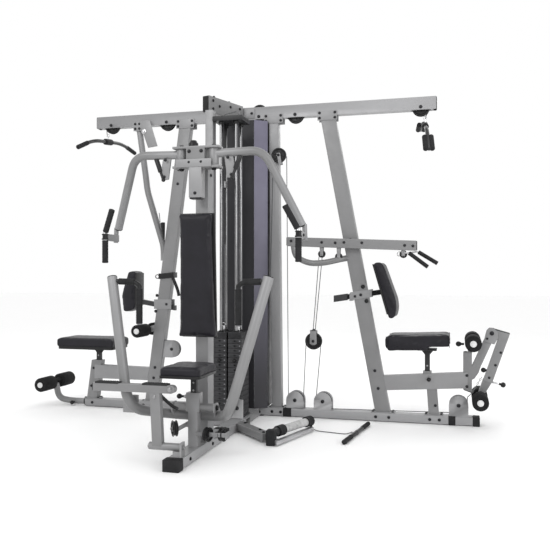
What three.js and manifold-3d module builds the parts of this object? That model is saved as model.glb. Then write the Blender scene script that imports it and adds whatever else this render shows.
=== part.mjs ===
// Multi station home gym: a T-shaped machine with three workout stations and three weight stacks.
// Millimetres, +Z up. The origin is on the floor under the crossing of the base rails, +X runs along
// the right boom and -Y runs out along the front rail to the press station.
import * as THREE from 'three';
import { mergeVertices } from 'three/addons/utils/BufferGeometryUtils.js';
import Module from 'manifold-3d';

const wasm = await Module();
wasm.setup();

// ---------------------------------------------------------------- driving dimensions
const GAP = 0.3;                 // clearance kept between touching pieces
const RAIL = { half: 40, bottom: 6, top: 56 };          // base rails, 80 x 50 tube
const TUBE_HALF = 29;            // half depth of the 58 mm deep booms and uprights
const BOOM = { bottom: 2022, top: 2104, right: 1205, left: -1202, seam: -60 };
const RAIL_ENDS = { right: 1430, left: -1295, front: -1428 };
const RIGHT_UPRIGHT = { foot: 865, head: 498, half: 49 };   // level half width of the slanted tube
const LEFT_UPRIGHT = { foot: -778, head: -515, half: 44 };
const TOWER_LEFT = { x: -190, y: -400, halfX: 25, halfY: 30 };
const TOWER_RIGHT = { foot: 150, head: 127, half: 33 };
const FRONT_UPRIGHT = { half: 35, front: -1060, back: -970, top: 1640 };
const HUB = { y: -1122, pivotX: 92, bottom: 1522, top: 1638, plate: 12 };
const FLY = { armZ: 1605, radius: 22.5, cornerX: 364, endX: 549, endY: -978, endZ: 1228, tipZ: 1140 };
const PRESS = { y: -1170, z: 262, radius: 26.5, topX: 430, topY: -1259, topZ: 943 };
const SEAT_SLEEVE = { halfX: 26, front: -1195, back: -1145, boreX: 18, boreY: 17, top: 338 };
const FOOT_LEVER = { y: -1400, z: 103, barY: -1432, barZ: 394, postX: -102 };
const LEVER_PIVOT = { x: 1546, z: 590 };                // knee pivot of the leg developer
const STACKS = { left: [-115, -362], right: [-15, -362] };
const STACK = { halfX: 45, halfY: 78, bottom: 70, top: 556, plate: 40, rodY: 50 };
const PULLEY = { radius: 57, width: 22, groove: 48, axleZ: 2040 };
const BOOM_PULLEYS = { right: [277, 1108], left: [-658, -1089], top: 23 };
const DOMES = [[277, 113], [467, 113], [1344, 127]];    // cover centres on the right rail (x, z)
const TOWER_PULLEY = { x: 170, y: -46, z: 1765 };
const FLOATING_PULLEY = { x: 400, z: 512 };
// Slanted bars of the side pads: inner end, end at the pad, height there and rise per level millimetre.
const PAD_BAR = {
  half: 17,
  right: { tail: 540, back: 853, padZ: 845, slope: 0.15 },
  left: { tail: 598, back: 873, padZ: 768, slope: 0.163 },
};
const SEAT_RIGHT_X = 1149;
const SEAT_LEFT_X = -1198;
const GRIP_RADIUS = 16;
const ROLLER = { radius: 50, inner: 45, outer: 200 };
const CABLE_RADIUS = 2.5;

// ---------------------------------------------------------------- materials
function paint(color, roughness, metalness) {
  return new THREE.MeshStandardMaterial({ color, roughness, metalness });
}
const SILVER = paint(0xa2a2a4, 0.42, 0.45);
const BLACK = paint(0x1b1b1d, 0.55, 0.05);
const RUBBER = paint(0x141415, 0.8, 0.0);
const CHROME = paint(0xd8d8dc, 0.14, 1.0);
const VINYL = paint(0x2c2a33, 0.5, 0.0);
const SHROUD = paint(0x2a2930, 0.4, 0.1);
const IRON = paint(0x202022, 0.6, 0.4);
const CABLE = paint(0x303033, 0.4, 0.1);

const gym = new THREE.Group();
function add(name, geometry, material) {
  const mesh = new THREE.Mesh(geometry, material);
  mesh.name = name;
  gym.add(mesh);
}

// ---------------------------------------------------------------- solids
function toSolid(geometry) {
  const bare = geometry.clone();
  bare.deleteAttribute('normal');
  bare.deleteAttribute('uv');
  const merged = mergeVertices(bare, 1e-3);
  return new wasm.Manifold(new wasm.Mesh({
    numProp: 3,
    vertProperties: new Float32Array(merged.attributes.position.array),
    triVerts: new Uint32Array(merged.index.array),
  }));
}

function toGeometry(solid) {
  const mesh = solid.getMesh();
  const geometry = new THREE.BufferGeometry();
  geometry.setAttribute('position', new THREE.BufferAttribute(mesh.vertProperties, 3));
  geometry.setIndex(new THREE.BufferAttribute(mesh.triVerts, 1));
  return geometry;
}

function join(...pieces) {
  return toGeometry(pieces.map(toSolid).reduce((a, b) => a.add(b)));
}

function cut(base, ...tools) {
  return toGeometry(tools.map(toSolid).reduce((a, b) => a.subtract(b), toSolid(base)));
}

const at = (x, y, z) => new THREE.Vector3(x, y, z);

function block(x0, x1, y0, y1, z0, z1) {
  const box = new THREE.BoxGeometry(x1 - x0, y1 - y0, z1 - z0);
  return box.translate((x0 + x1) / 2, (y0 + y1) / 2, (z0 + z1) / 2);
}

// A round bar from a to b.
function rod(a, b, radius, sides = 16) {
  const bar = new THREE.CylinderGeometry(radius, radius, a.distanceTo(b), sides);
  const turn = new THREE.Quaternion().setFromUnitVectors(at(0, 1, 0), b.clone().sub(a).normalize());
  const middle = a.clone().add(b).multiplyScalar(0.5);
  return bar.applyQuaternion(turn).translate(middle.x, middle.y, middle.z);
}

function outline(points) {
  return new THREE.Shape(points.map(([u, v]) => new THREE.Vector2(u, v)));
}

// An (x, z) outline carried along Y from y0 to y1.
function slab(points, y0, y1) {
  const geometry = new THREE.ExtrudeGeometry(outline(points), { depth: y1 - y0, bevelEnabled: false });
  return geometry.rotateX(Math.PI / 2).translate(0, y1, 0);
}

// An (x, y) outline carried up from z0 to z1.
function prism(points, z0, z1) {
  const geometry = new THREE.ExtrudeGeometry(outline(points), { depth: z1 - z0, bevelEnabled: false });
  return geometry.translate(0, 0, z0);
}

// A (y, z) outline carried along X from x0 to x1.
function profile(points, x0, x1) {
  const geometry = new THREE.ExtrudeGeometry(outline(points), { depth: x1 - x0, bevelEnabled: false });
  return geometry.rotateX(Math.PI / 2).rotateZ(Math.PI / 2).translate(x0, 0, 0);
}

// A cheek plate or dome: level foot, straight sides and a half-round top, carried along Y.
function dome(x, radius, z0, centreZ, y0, y1, steps = 10) {
  const points = [[x - radius, z0], [x + radius, z0]];
  for (let i = 0; i <= steps; i += 1) {
    const a = (Math.PI * i) / steps;
    points.push([x + radius * Math.cos(a), centreZ + radius * Math.sin(a)]);
  }
  return slab(points, y0, y1);
}

// The centre line of a bent tube: straight runs with a round bend at every inner point.
class BentLine extends THREE.Curve {
  constructor(points, bend, steps) {
    super();
    this.stations = [points[0].clone()];
    for (let i = 1; i < points.length - 1; i += 1) {
      const before = points[i - 1].clone().sub(points[i]);
      const after = points[i + 1].clone().sub(points[i]);
      const reach = Math.min(bend, before.length() / 2.1, after.length() / 2.1);
      const arc = new THREE.QuadraticBezierCurve3(
        points[i].clone().addScaledVector(before.normalize(), reach),
        points[i],
        points[i].clone().addScaledVector(after.normalize(), reach),
      );
      this.stations.push(...arc.getPoints(steps));
    }
    this.stations.push(points[points.length - 1].clone());
  }

  getPoint(t) {
    const place = t * (this.stations.length - 1);
    const index = Math.min(Math.floor(place), this.stations.length - 2);
    return this.stations[index].clone().lerp(this.stations[index + 1], place - index);
  }

  getPointAt(t) {
    return this.getPoint(t);
  }

  getTangentAt(t) {
    const last = this.stations.length - 1;
    const index = Math.round(t * last);
    const from = this.stations[Math.max(index - 1, 0)];
    const to = this.stations[Math.min(index + 1, last)];
    return to.clone().sub(from).normalize();
  }
}

function ring(radius, sides) {
  const points = [];
  for (let i = 0; i < sides; i += 1) {
    const a = (2 * Math.PI * i) / sides;
    points.push([radius * Math.cos(a), radius * Math.sin(a)]);
  }
  return outline(points);
}

function tube(points, radius, bend = 60, sides = 12, steps = 5) {
  const line = new BentLine(points, bend, steps);
  return new THREE.ExtrudeGeometry(ring(radius, sides), {
    steps: line.stations.length - 1, extrudePath: line, bevelEnabled: false, curveSegments: 1,
  });
}

// A grooved wheel with a stub hub, on an axle along Y.
function pulley(x, y, z, radius = PULLEY.radius) {
  const w = PULLEY.width / 2;
  const depth = PULLEY.radius - PULLEY.groove;
  const section = [[0, -w - 1], [12, -w - 1], [12, -w], [radius, -w], [radius - depth, -3],
    [radius - depth, 3], [radius, w], [12, w], [12, w + 1], [0, w + 1]];
  return new THREE.LatheGeometry(section.map(([r, h]) => new THREE.Vector2(r, h)), 24).translate(x, y, z);
}

// Two foam rollers on one axle along Y, mirrored about y = 0.
function rollerPair(x, z, radius = ROLLER.radius) {
  const { inner, outer } = ROLLER;
  const foam = [-1, 1].map((s) => rod(at(x, s * inner, z), at(x, s * outer, z), radius, 20));
  return join(rod(at(x, -outer - 8, z), at(x, outer + 8, z), 11, 12), ...foam);
}

const mirrored = (geometry) => toGeometry(toSolid(geometry).mirror([1, 0, 0]));

// ---------------------------------------------------------------- base and feet
// Front rail with its two cross members, the centre post, seat sleeve and pivot tube of the press
// station, and the lug of the foot lever.
function baseFront() {
  const { halfX, front, back, boreX, boreY, top } = SEAT_SLEEVE;
  const rail = block(-RAIL.half, RAIL.half, RAIL_ENDS.front + GAP, -30, RAIL.bottom, RAIL.top);
  const rearCross = block(-186 + GAP, 186 - GAP, -RAIL.half, RAIL.half, RAIL.bottom, RAIL.top);
  const frontCross = block(-225, 60, -440, -360, RAIL.bottom, RAIL.top);
  const saddle = block(-20, 20, FOOT_LEVER.y - 14, FOOT_LEVER.y + 14, RAIL.top - 4, FOOT_LEVER.z - 19 - GAP);
  const lug = block(20 + GAP, 30, FOOT_LEVER.y - 24, FOOT_LEVER.y + 24, RAIL.top - 4, 128);
  const post = block(-halfX, halfX, front, back, RAIL.top - 4, 250);
  const sleeve = block(-37, 37, front, back, 240, top);
  const pivot = rod(at(-112 + GAP, PRESS.y, PRESS.z), at(112 - GAP, PRESS.y, PRESS.z), 21);
  const whole = join(rail, rearCross, frontCross, saddle, lug, post, sleeve, pivot);
  return cut(whole, block(-boreX, boreX, PRESS.y - boreY, PRESS.y + boreY, 90, top + 2));
}

function baseRight() {
  const rail = block(186, RAIL_ENDS.right - GAP, -RAIL.half, RAIL.half, RAIL.bottom, RAIL.top);
  const cheeks = DOMES.flatMap(([x, centre]) => [dome(x, 60, RAIL.top - 4, centre, -34, -28),
    dome(x, 60, RAIL.top - 4, centre, 28, 34)]);
  return join(rail, ...cheeks);
}

function baseLeft() {
  const rail = block(RAIL_ENDS.left, -186, -RAIL.half, RAIL.half, RAIL.bottom, RAIL.top);
  return join(rail, block(-1285, -1205, -36, 36, 0, RAIL.bottom + 2));
}

// ---------------------------------------------------------------- tower, booms and uprights
function inclined({ foot, head, half }) {
  const z0 = RAIL.top + GAP;
  const z1 = BOOM.bottom - GAP;
  const outline = [[foot - half, z0], [foot + half, z0], [head + half, z1], [head - half, z1]];
  return slab(outline, -TUBE_HALF, TUBE_HALF);
}

// Level centre of an inclined upright at height z.
function uprightX({ foot, head }, z) {
  const z0 = RAIL.top + GAP;
  return foot + (head - foot) * ((z - z0) / (BOOM.bottom - GAP - z0));
}

// Left post of the tower with the head beam welded on it, which runs back to the left boom.
function towerPostLeft() {
  const { x, y, halfX, halfY } = TOWER_LEFT;
  const post = block(x - halfX, x + halfX, y - halfY, y + halfY, RAIL.top + GAP, 2006);
  const front = new THREE.Vector2(-228, -384);
  const back = new THREE.Vector2(-106, -40);
  const side = new THREE.Vector2(23.5, -8);
  const plan = [front.clone().sub(side), front.clone().add(side), back.clone().add(side),
    back.clone().sub(side)];
  return join(post, prism(plan.map((p) => [p.x, p.y]), 2004, 2110));
}

function boom(x0, x1, pockets, topPocket) {
  const tools = pockets.map((x) => block(x - 62, x + 62, -14, 14, BOOM.bottom - 2, BOOM.top - 5));
  if (topPocket !== undefined) {
    tools.push(block(topPocket - 60, topPocket + 60, -14, 14, BOOM.bottom - 2, BOOM.top + 2));
  }
  return cut(block(x0, x1, -TUBE_HALF, TUBE_HALF, BOOM.bottom, BOOM.top), ...tools);
}

// Front upright with the tie beam that runs back to the left tower post.
function frontUpright() {
  const { half, front, back, top } = FRONT_UPRIGHT;
  const postFront = TOWER_LEFT.y - TOWER_LEFT.halfY - GAP;
  const tie = prism([[-25, back - 5], [25, back - 5], [TOWER_LEFT.x + 25, postFront],
    [TOWER_LEFT.x - 25, postFront]], 1560, 1630);
  return join(block(-half, half, front, back, RAIL.top + GAP, top), tie);
}

// Fixed fork that carries both fly arms, with a drop tube in front of the upright.
function flyHub() {
  const back = FRONT_UPRIGHT.front - GAP;
  const core = block(-52, 52, -1160, back, HUB.bottom, HUB.top);
  const lower = block(-130, 130, -1160, -1084, HUB.bottom, HUB.bottom + HUB.plate);
  const upper = block(-130, 130, -1160, -1084, HUB.top - HUB.plate, HUB.top);
  const drop = block(-35, 35, -1163, -1103, 1365, HUB.bottom + 5);
  return join(core, lower, upper, drop);
}

// Mid cable arm on the front face of the right upright, with its curved brace.
function midArm() {
  const back = -TUBE_HALF - GAP;
  const front = back - 50;
  const y = (front + back) / 2;
  const arm = slab([[233, 1151], [1083, 1112], [1083, 1176], [233, 1211]], front, back);
  const brace = tube([at(272, y, 1162), at(286, y, 1080), at(375, y, 1034), at(480, y, 1036),
    at(682, y, 1080)], 20, 70);
  return join(arm, brace);
}

// Two fixed black grips on a chrome stirrup under the end of the mid arm.
function curlHandle() {
  const y = -55;
  const stirrup = rod(at(985, y, 1090), at(1100, y, 1098), 6, 10);
  const hanger = rod(at(1062, y, 1092), at(1062, y, 1112.5), 6, 10);
  const near = rod(at(1036, y - 14, 1098), at(1155, y - 14, 1007), 13, 12);
  const far = rod(at(1094, y + 14, 1104), at(1214, y + 14, 1030), 13, 12);
  return join(stirrup, hanger, near, far, rod(at(985, y - 8, 1090), at(985, y + 8, 1090), 15, 12));
}

// Left upright with the guard cheeks of its pulley and the bent column up to the left boom.
function uprightLeft() {
  const guard = (y0, y1) => slab([[-735, 492], [-735, 372], [-622, 372], [-588, 386], [-564, 420],
    [-564, 446], [-588, 480], [-622, 492]], y0, y1);
  const head = block(-905, -855, -24, 24, 1990, BOOM.bottom - GAP);
  const column = tube([at(-880, 0, 2000), at(-828, 0, 1660), at(-816, 0, 1560), at(-744, 0, 1330),
    at(-690, 0, 1160), at(-690, 0, 1060)], 21, 90);
  const whole = join(inclined(LEFT_UPRIGHT), guard(-20, -15), guard(15, 20), head, column);
  return cut(whole, padBarTool(-1));
}

// ---------------------------------------------------------------- station frames
function seatFrameRight() {
  const face = (z) => uprightX(RIGHT_UPRIGHT, z) + RIGHT_UPRIGHT.half + GAP;
  const beam = slab([[face(205), 205], [1400, 238], [1400, 338], [face(299), 299]], -TUBE_HALF, TUBE_HALF);
  const post = slab([[1158, RAIL.top + GAP], [1222, RAIL.top + GAP], [1208, 250], [1144, 250]], -25, 25);
  const riser = slab([[1372, 232], [1426, 214], [1426, 466], [1372, 466]], -25, 25);
  const neck = slab([[1396, 460], [1426, 460], [1444, 522], [1416, 522]], -14, 14);
  const arm = slab([[1420, 290], [1440, 300], [1465, 336], [1480, 380], [1557, 555], [1512, 574],
    [1420, 368]], -25, 25);
  const collar = block(SEAT_RIGHT_X - 27, SEAT_RIGHT_X + 27, -27, 27, 300, 338);
  const bore = block(SEAT_RIGHT_X - 18, SEAT_RIGHT_X + 18, -18, 18, 214, 342);
  const cablePath = block(1130, 1250, -7, 7, 50, 86);
  return cut(join(beam, post, riser, neck, arm, collar), bore, cablePath);
}

function seatFrameLeft() {
  const face = (z) => uprightX(LEFT_UPRIGHT, z) - LEFT_UPRIGHT.half - GAP;
  const beam = slab([[-1222, 206], [face(206), 206], [face(296), 296], [-1222, 304]], -TUBE_HALF, TUBE_HALF);
  const post = slab([[-1285, RAIL.top + GAP], [-1205, RAIL.top + GAP], [-1166, 338], [-1246, 338]], -27, 27);
  const bore = block(SEAT_LEFT_X - 18, SEAT_LEFT_X + 18, -18, 18, 214, 342);
  return cut(join(beam, post), bore);
}

function lowRowFrame() {
  const beam = prism([[40 + GAP, -489], [40 + GAP, -573], [268, -805], [308, -762]], 12, 56);
  const foot = block(322, 352, -846, -806, 2, 88);
  const tread = prism([[280, -770], [304, -792], [348, -848], [372, -872], [494, -446], [467, -436],
    [362, -800]], 10, 32);
  const sole = block(460, 476, -446, -408, 2, 12);
  const post = block(460, 476, -418, -408, 2, 84);
  return join(beam, tread, foot, sole, post);
}

// Foot brace bar of the low row, with rubber ends, which turns on its own axle.
function lowRowBar() {
  const from = at(346, -770, 66);
  const to = at(470, -430, 66);
  return join(rod(from, to, 24, 16), rod(from, from.clone().lerp(to, 0.14), 31, 16),
    rod(to.clone().lerp(from, 0.16), to, 31, 16));
}

// ---------------------------------------------------------------- tower contents
// Cover behind the stacks, folded from one sheet.
function shroud() {
  const t = 4;
  return prism([[-212, -110], [14, -110], [92, -52], [92, -52 + t + 1], [12, -110 + t], [-212, -110 + t]],
    RAIL.top + GAP, 2000);
}

function guideRods() {
  const sill = block(-163, 34, -445, -276, RAIL.top + GAP, STACK.bottom - GAP);
  const crown = block(-163, 34, -445, -276, 1930, 1960);
  const rods = Object.values(STACKS).flatMap(([x, y]) => [-1, 1].map(
    (s) => rod(at(x, y + s * STACK.rodY, 60), at(x, y + s * STACK.rodY, 1940), 9, 10)));
  return join(sill, crown, ...rods);
}

function boredBlock([x, y], z0, z1, bores = [-1, 1].map((s) => [s * STACK.rodY, 11])) {
  const { halfX, halfY } = STACK;
  const tools = bores.map(([dy, r]) => rod(at(x, y + dy, z0 - 5), at(x, y + dy, z1 + 5), r, 10));
  return cut(block(x - halfX, x + halfX, y - halfY, y + halfY, z0, z1), ...tools);
}

function weightStack(place) {
  return boredBlock(place, STACK.bottom, STACK.top, [[-STACK.rodY, 11], [STACK.rodY, 11], [0, 13]]);
}

// Top plate with its lifting eye above and its selector rod below.
function topPlate([x, y]) {
  const top = STACK.top + GAP;
  const plate = boredBlock([x, y], top, top + STACK.plate);
  return join(plate, rod(at(x, y, top + 10), at(x, y, top + STACK.plate + 40), 9, 10),
    rod(at(x, y, STACK.bottom + 30), at(x, y, top + 5), 10, 10));
}

// ---------------------------------------------------------------- press station
function pressArm() {
  const { topX, topY, topZ, radius } = PRESS;
  const half = (s) => [at(s * topX, topY, topZ), at(s * 268, -1400, 282), at(s * 130, -1114, 206)];
  const bar = tube([...half(-1), ...half(1).reverse()], radius, 110, 14, 6);
  const lugs = [-1, 1].map((s) => profile([[-1200, 285], [-1198, 238], [-1140, 184], [-1100, 184],
    [-1100, 228], [-1142, 285]], s * 117 - 5, s * 117 + 5));
  const gussets = [-1, 1].map((s) => block(s * 240 - 44, s * 240 + 44, -1312, -1302, 214, 306));
  return join(bar, ...lugs, ...gussets);
}

// Inward grip and upright grip at the top of one side of the press arm.
function pressGrip(side) {
  const { topX, topY } = PRESS;
  const inner = side * (topX - 158);
  const across = rod(at(side * (topX - 37), topY - 2, 922), at(side * (topX - 170), topY - 2, 918),
    GRIP_RADIUS);
  return join(across, rod(at(inner, topY - 2, 932), at(inner, topY - 2, 700), GRIP_RADIUS + 1));
}

// Pedal that starts the press arm: pivot tube, post and foot bar.
function footLever() {
  const { y, z, barY, barZ, postX } = FOOT_LEVER;
  const pivot = rod(at(-150, y, z), at(20, y, z), 19);
  const post = profile([[y - 19, z], [y + 19, z], [barY + 19, barZ], [barY - 19, barZ]], postX - 26,
    postX + 26);
  const bar = block(-437, -15, barY - 19, barY + 19, barZ - 20, barZ + 20);
  const nose = rod(at(-15, barY - 19, barZ), at(-15, barY + 19, barZ), 20);
  return join(pivot, post, bar, nose);
}

function flyArm(side) {
  const { armZ, radius, cornerX, endX, endY, endZ, tipZ } = FLY;
  const sleeve = rod(at(HUB.pivotX, HUB.y, HUB.bottom + HUB.plate + GAP),
    at(HUB.pivotX, HUB.y, HUB.top - HUB.plate - GAP), 28, 20);
  const arm = tube([at(HUB.pivotX, HUB.y, armZ - 6), at(cornerX, HUB.y, armZ), at(endX, endY, endZ),
    at(endX, endY, tipZ)], radius, 75, 14);
  const tab = block(endX - 8, endX + 8, endY - 118, endY, 1146, 1184);
  const cam = slab([[150, 1590], [196, 1590], [212, 1500], [196, 1466], [166, 1470]], HUB.y - 6, HUB.y + 6);
  const whole = join(sleeve, arm, tab, cam);
  return side < 0 ? mirrored(whole) : whole;
}

function flyGrip(side) {
  const x = side * FLY.endX;
  const y = FLY.endY - 118 - GAP - 18;
  const lower = rod(at(x, y, 1022), at(x, y, 1150), 17);
  const collar = rod(at(x, y, 1148), at(x, y, 1186), 14);
  const upper = rod(at(x, y, 1180), at(side * 486, y - 40, 1312), GRIP_RADIUS);
  return join(lower, collar, upper);
}

// ---------------------------------------------------------------- leg developer and rollers
function legLever() {
  const { x, z } = LEVER_PIVOT;
  const hub = rod(at(x, -25, z), at(x, 25, z), 25, 20);
  const knee = slab([[x + 4, z + 25], [1654, 588], [1640, 545], [1590, 552], [x + 8, 568]], -25, 25);
  const upper = slab([[1590, 570], [1650, 576], [1548, 276], [1494, 292]], -25, 25);
  const lower = slab([[1494, 300], [1548, 282], [1494, 190], [1460, 196]], -22, 22);
  return join(hub, knee, upper, lower);
}

function footRollerBar() {
  return tube([at(-1296, 0, 31), at(-1430, 0, 29), at(-1530, 0, 44), at(-1556, 0, 150)], 22, 60);
}

// ---------------------------------------------------------------- pads and seats
function roundedBox(width, length, height, corner, steps = 4) {
  const points = [];
  [[1, 1], [-1, 1], [-1, -1], [1, -1]].forEach(([sx, sy], turn) => {
    for (let i = 0; i <= steps; i += 1) {
      const a = (Math.PI / 2) * (turn + i / steps);
      points.push([sx * (width / 2 - corner) + corner * Math.cos(a),
        sy * (length / 2 - corner) + corner * Math.sin(a)]);
    }
  });
  const inner = points.map(([u, v]) => [u * 0.95, v * 0.975]);
  return join(prism(points, 0, height * 0.72), prism(inner, height * 0.7, height));
}

// Square post with the mounting plate of its seat on top.
function seatPost(x, y, z0, z1) {
  const plate = block(x - 60, x + 60, y - 60, y + 60, z1 - 10, z1);
  return join(block(x - 16, x + 16, y - 15, y + 15, z0, z1 - 8), plate);
}

// Side pad from its (x, z) outline, measured outward and up from the top of its back edge.
const SIDE_PADS = {
  right: { x: 807, z: 1042, half: 125, points: [[0, 0], [58, 6], [104, -120], [148, -240], [158, -300],
    [148, -366], [104, -382], [50, -190]] },
  left: { x: 874, z: 990, half: 75, points: [[0, 0], [64, 0], [107, -127], [121, -182], [107, -298],
    [82, -303], [15, -285], [0, -253]] },
};
function sidePad(side) {
  const { x, z, half, points } = SIDE_PADS[side > 0 ? 'right' : 'left'];
  return slab(points.map(([u, v]) => [side * (x + u), z + v]), -half, half);
}

// Slanted telescoping bar from its end grip, through the upright, to the back of a side pad.
function barBetween(side, x0, x1, half) {
  const { back, padZ, slope } = PAD_BAR[side > 0 ? 'right' : 'left'];
  const z = (x) => padZ - (back - x) * slope;
  const corners = [[x0, z(x0) - half], [x1, z(x1) - half], [x1, z(x1) + half], [x0, z(x0) + half]];
  return slab(corners.map(([x, height]) => [side * x, height]), -half, half);
}

const padBarTool = (side) => barBetween(side, 450, 950, PAD_BAR.half + 0.7);

function padBar(side) {
  const { tail, back, half } = { half: PAD_BAR.half, ...PAD_BAR[side > 0 ? 'right' : 'left'] };
  const bar = barBetween(side, tail, back, half);
  return side > 0 ? join(bar, barBetween(side, tail, tail + 90, half + 5)) : bar;
}

// ---------------------------------------------------------------- cables and bars
// Lat bar along Y whose ends droop; it hangs by the eye at its middle, rolled about X and turned about Z.
function latBar(x, z, reach, drop, roll, yaw) {
  const sag = -drop * 0.16;
  const points = [at(0, -reach, -drop), at(0, -reach * 0.5, sag), at(0, reach * 0.5, sag),
    at(0, reach, -drop)];
  const eye = rod(at(0, 0, sag), at(0, 0, 30), 8, 10);
  return join(tube(points, 11, 120, 10).rotateX(roll), eye).rotateZ(yaw).translate(x, 0, z);
}

// Points of an arc about (x, z) in the y = 0 plane, angles in degrees.
function wrap(x, z, from, to, steps = 10) {
  const radius = PULLEY.groove + CABLE_RADIUS + 1.2;
  const points = [];
  for (let i = 0; i <= steps; i += 1) {
    const a = THREE.MathUtils.degToRad(from + ((to - from) * i) / steps);
    points.push(at(x + radius * Math.cos(a), 0, z + radius * Math.sin(a)));
  }
  return points;
}

// Machine cable: down from the tower wheel, under the first cover wheel, over the floating pulley,
// under the second cover wheel and along the rail to the outer cover.
function cableRight() {
  const [first, second, outer] = DOMES;
  const points = [at(TOWER_PULLEY.x + 54, TOWER_PULLEY.y, TOWER_PULLEY.z - 10), at(226, -10, 300),
    ...wrap(...first, 180, 360), ...wrap(FLOATING_PULLEY.x, FLOATING_PULLEY.z, 180, 0),
    ...wrap(...second, 180, 270), ...wrap(...outer, 270, 360), at(1399, 0, 178)];
  return tube(points, CABLE_RADIUS, 4, 8, 1);
}

const LOW_CABLE = [[470, -424, 30], [474, -424, 24], [480, -424, 17.5], [487, -424.5, 12], [495, -425, 8.5],
  [505, -426, 5.8], [516, -427.5, 4.3], [540, -432, 3.2], [562, -435.5, 3], [585, -440, 3], [610, -446, 3],
  [635, -452, 3], [655, -457, 3], [675, -460.5, 3.2], [690, -462, 4.4], [703, -462, 7], [716, -462, 11]];

function lowCable() {
  return tube(LOW_CABLE.map((p) => at(...p)), CABLE_RADIUS, 5, 8, 2);
}

function rowBar() {
  const along = new THREE.Vector3(0.131, 0.991, 0).multiplyScalar(270);
  const middle = at(756, -455, 15);
  const bar = rod(middle.clone().sub(along), middle.clone().add(along), 14, 14);
  return join(bar, rod(at(718, -462, 13), at(752, -457, 14), 5, 8));
}

// Sprung locating pin: stem and ball knob, drawn out along its stem.
function popPin(tip, outward) {
  const end = tip.clone().addScaledVector(outward, 46);
  const knob = new THREE.SphereGeometry(14, 14, 10).translate(end.x, end.y, end.z);
  return join(rod(tip, end, 6, 10), knob);
}

// ---------------------------------------------------------------- assembly
add('base_front', baseFront(), SILVER);
add('base_right', baseRight(), SILVER);
add('base_left', baseLeft(), SILVER);
add('foot_front', block(-44, 44, RAIL_ENDS.front - 60, RAIL_ENDS.front, 0, 60), RUBBER);
add('foot_right', block(RAIL_ENDS.right, RAIL_ENDS.right + 44, -43, 43, 0, 58), RUBBER);
add('foot_rear', block(-60, 60, -50, 50, 0, RAIL.bottom - GAP), RUBBER);
add('tower_post_left', towerPostLeft(), SILVER);
add('tower_post_right', inclined(TOWER_RIGHT), SILVER);
add('boom_right', boom(BOOM.seam, BOOM.right, BOOM_PULLEYS.right, BOOM_PULLEYS.top), SILVER);
add('boom_left', boom(BOOM.left, BOOM.seam - GAP, BOOM_PULLEYS.left), SILVER);
add('upright_right', cut(inclined(RIGHT_UPRIGHT), padBarTool(1), block(780, 950, -7, 7, 50, 80)), SILVER);
add('upright_left', uprightLeft(), SILVER);
add('front_upright', frontUpright(), SILVER);
add('fly_hub', flyHub(), SILVER);
add('mid_arm', midArm(), SILVER);
add('curl_handle', curlHandle(), BLACK);
add('seat_frame_right', seatFrameRight(), SILVER);
add('seat_frame_left', seatFrameLeft(), SILVER);
add('low_row_frame', lowRowFrame(), SILVER);
add('low_row_bar', lowRowBar(), CHROME);
add('shroud', shroud(), SHROUD);
add('guide_rods', guideRods(), CHROME);
for (const [side, place] of Object.entries(STACKS)) {
  add(`weight_stack_${side}`, weightStack(place), IRON);
  add(`top_plate_${side}`, topPlate(place), IRON);
}
add('press_arm', pressArm(), SILVER);
add('press_grip_right', pressGrip(1), RUBBER);
add('press_grip_left', pressGrip(-1), RUBBER);
add('foot_lever', footLever(), SILVER);
add('fly_arm_right', flyArm(1), SILVER);
add('fly_arm_left', flyArm(-1), SILVER);
add('fly_grip_right', flyGrip(1), RUBBER);
add('fly_grip_left', flyGrip(-1), RUBBER);
add('leg_lever', legLever(), SILVER);
add('leg_rollers_upper', rollerPair(1432, 535), RUBBER);
add('leg_rollers_lower', rollerPair(1474, 176), RUBBER);
add('thigh_rollers', rollerPair(-806, 567, 44), RUBBER);
add('foot_roller_bar', footRollerBar(), SILVER);
add('foot_rollers', rollerPair(-1560, 166), RUBBER);
add('seat_front', roundedBox(236, 293, 56, 34).translate(0, -1254, 438), VINYL);
add('seat_post_front', seatPost(0, PRESS.y, 120, 438 - GAP), BLACK);
add('back_pad_front', roundedBox(208, 674, 70, 30).rotateX(Math.PI / 2 - 0.05).translate(0, -1078, 953), VINYL);
add('seat_right', join(roundedBox(280, 412, 112, 36).rotateZ(Math.PI / 2).rotateY(-0.035)
  .translate(1090, 0, 476), seatPost(SEAT_RIGHT_X, 0, 222, 482)), VINYL);
add('seat_left', join(roundedBox(280, 466, 80, 36).rotateZ(Math.PI / 2).translate(-1247, 0, 423),
  seatPost(SEAT_LEFT_X, 0, 222, 424)), VINYL);
add('back_pad_right', sidePad(1), VINYL);
add('back_pad_left', sidePad(-1), VINYL);
add('pad_bar_right', padBar(1), BLACK);
add('pad_bar_left', padBar(-1), BLACK);
add('floating_pulley', pulley(FLOATING_PULLEY.x, 0, FLOATING_PULLEY.z), BLACK);
add('pulley_boom_right', pulley(BOOM_PULLEYS.right[1], 0, PULLEY.axleZ), BLACK);
add('pulley_boom_left', pulley(BOOM_PULLEYS.left[1], 0, PULLEY.axleZ), BLACK);
add('pulley_tower', pulley(TOWER_PULLEY.x, TOWER_PULLEY.y, TOWER_PULLEY.z, 50), BLACK);
add('lat_bar_left', latBar(-1128, 1938, 430, 72, 0.12, 0), RUBBER);
add('lat_bar_right', latBar(1134, 1938, 380, 100, 0.35, 0.12), RUBBER);
add('cable_right', cableRight(), CABLE);
add('low_cable', lowCable(), CABLE);
add('row_bar', rowBar(), RUBBER);
add('pop_pin_front', popPin(at(-37 - GAP, PRESS.y, 314), at(-1, 0, 0)), BLACK);
add('pop_pin_right', popPin(at(1161, -29 - GAP, 292), at(0, -1, 0)), BLACK);

export default gym;
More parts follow.
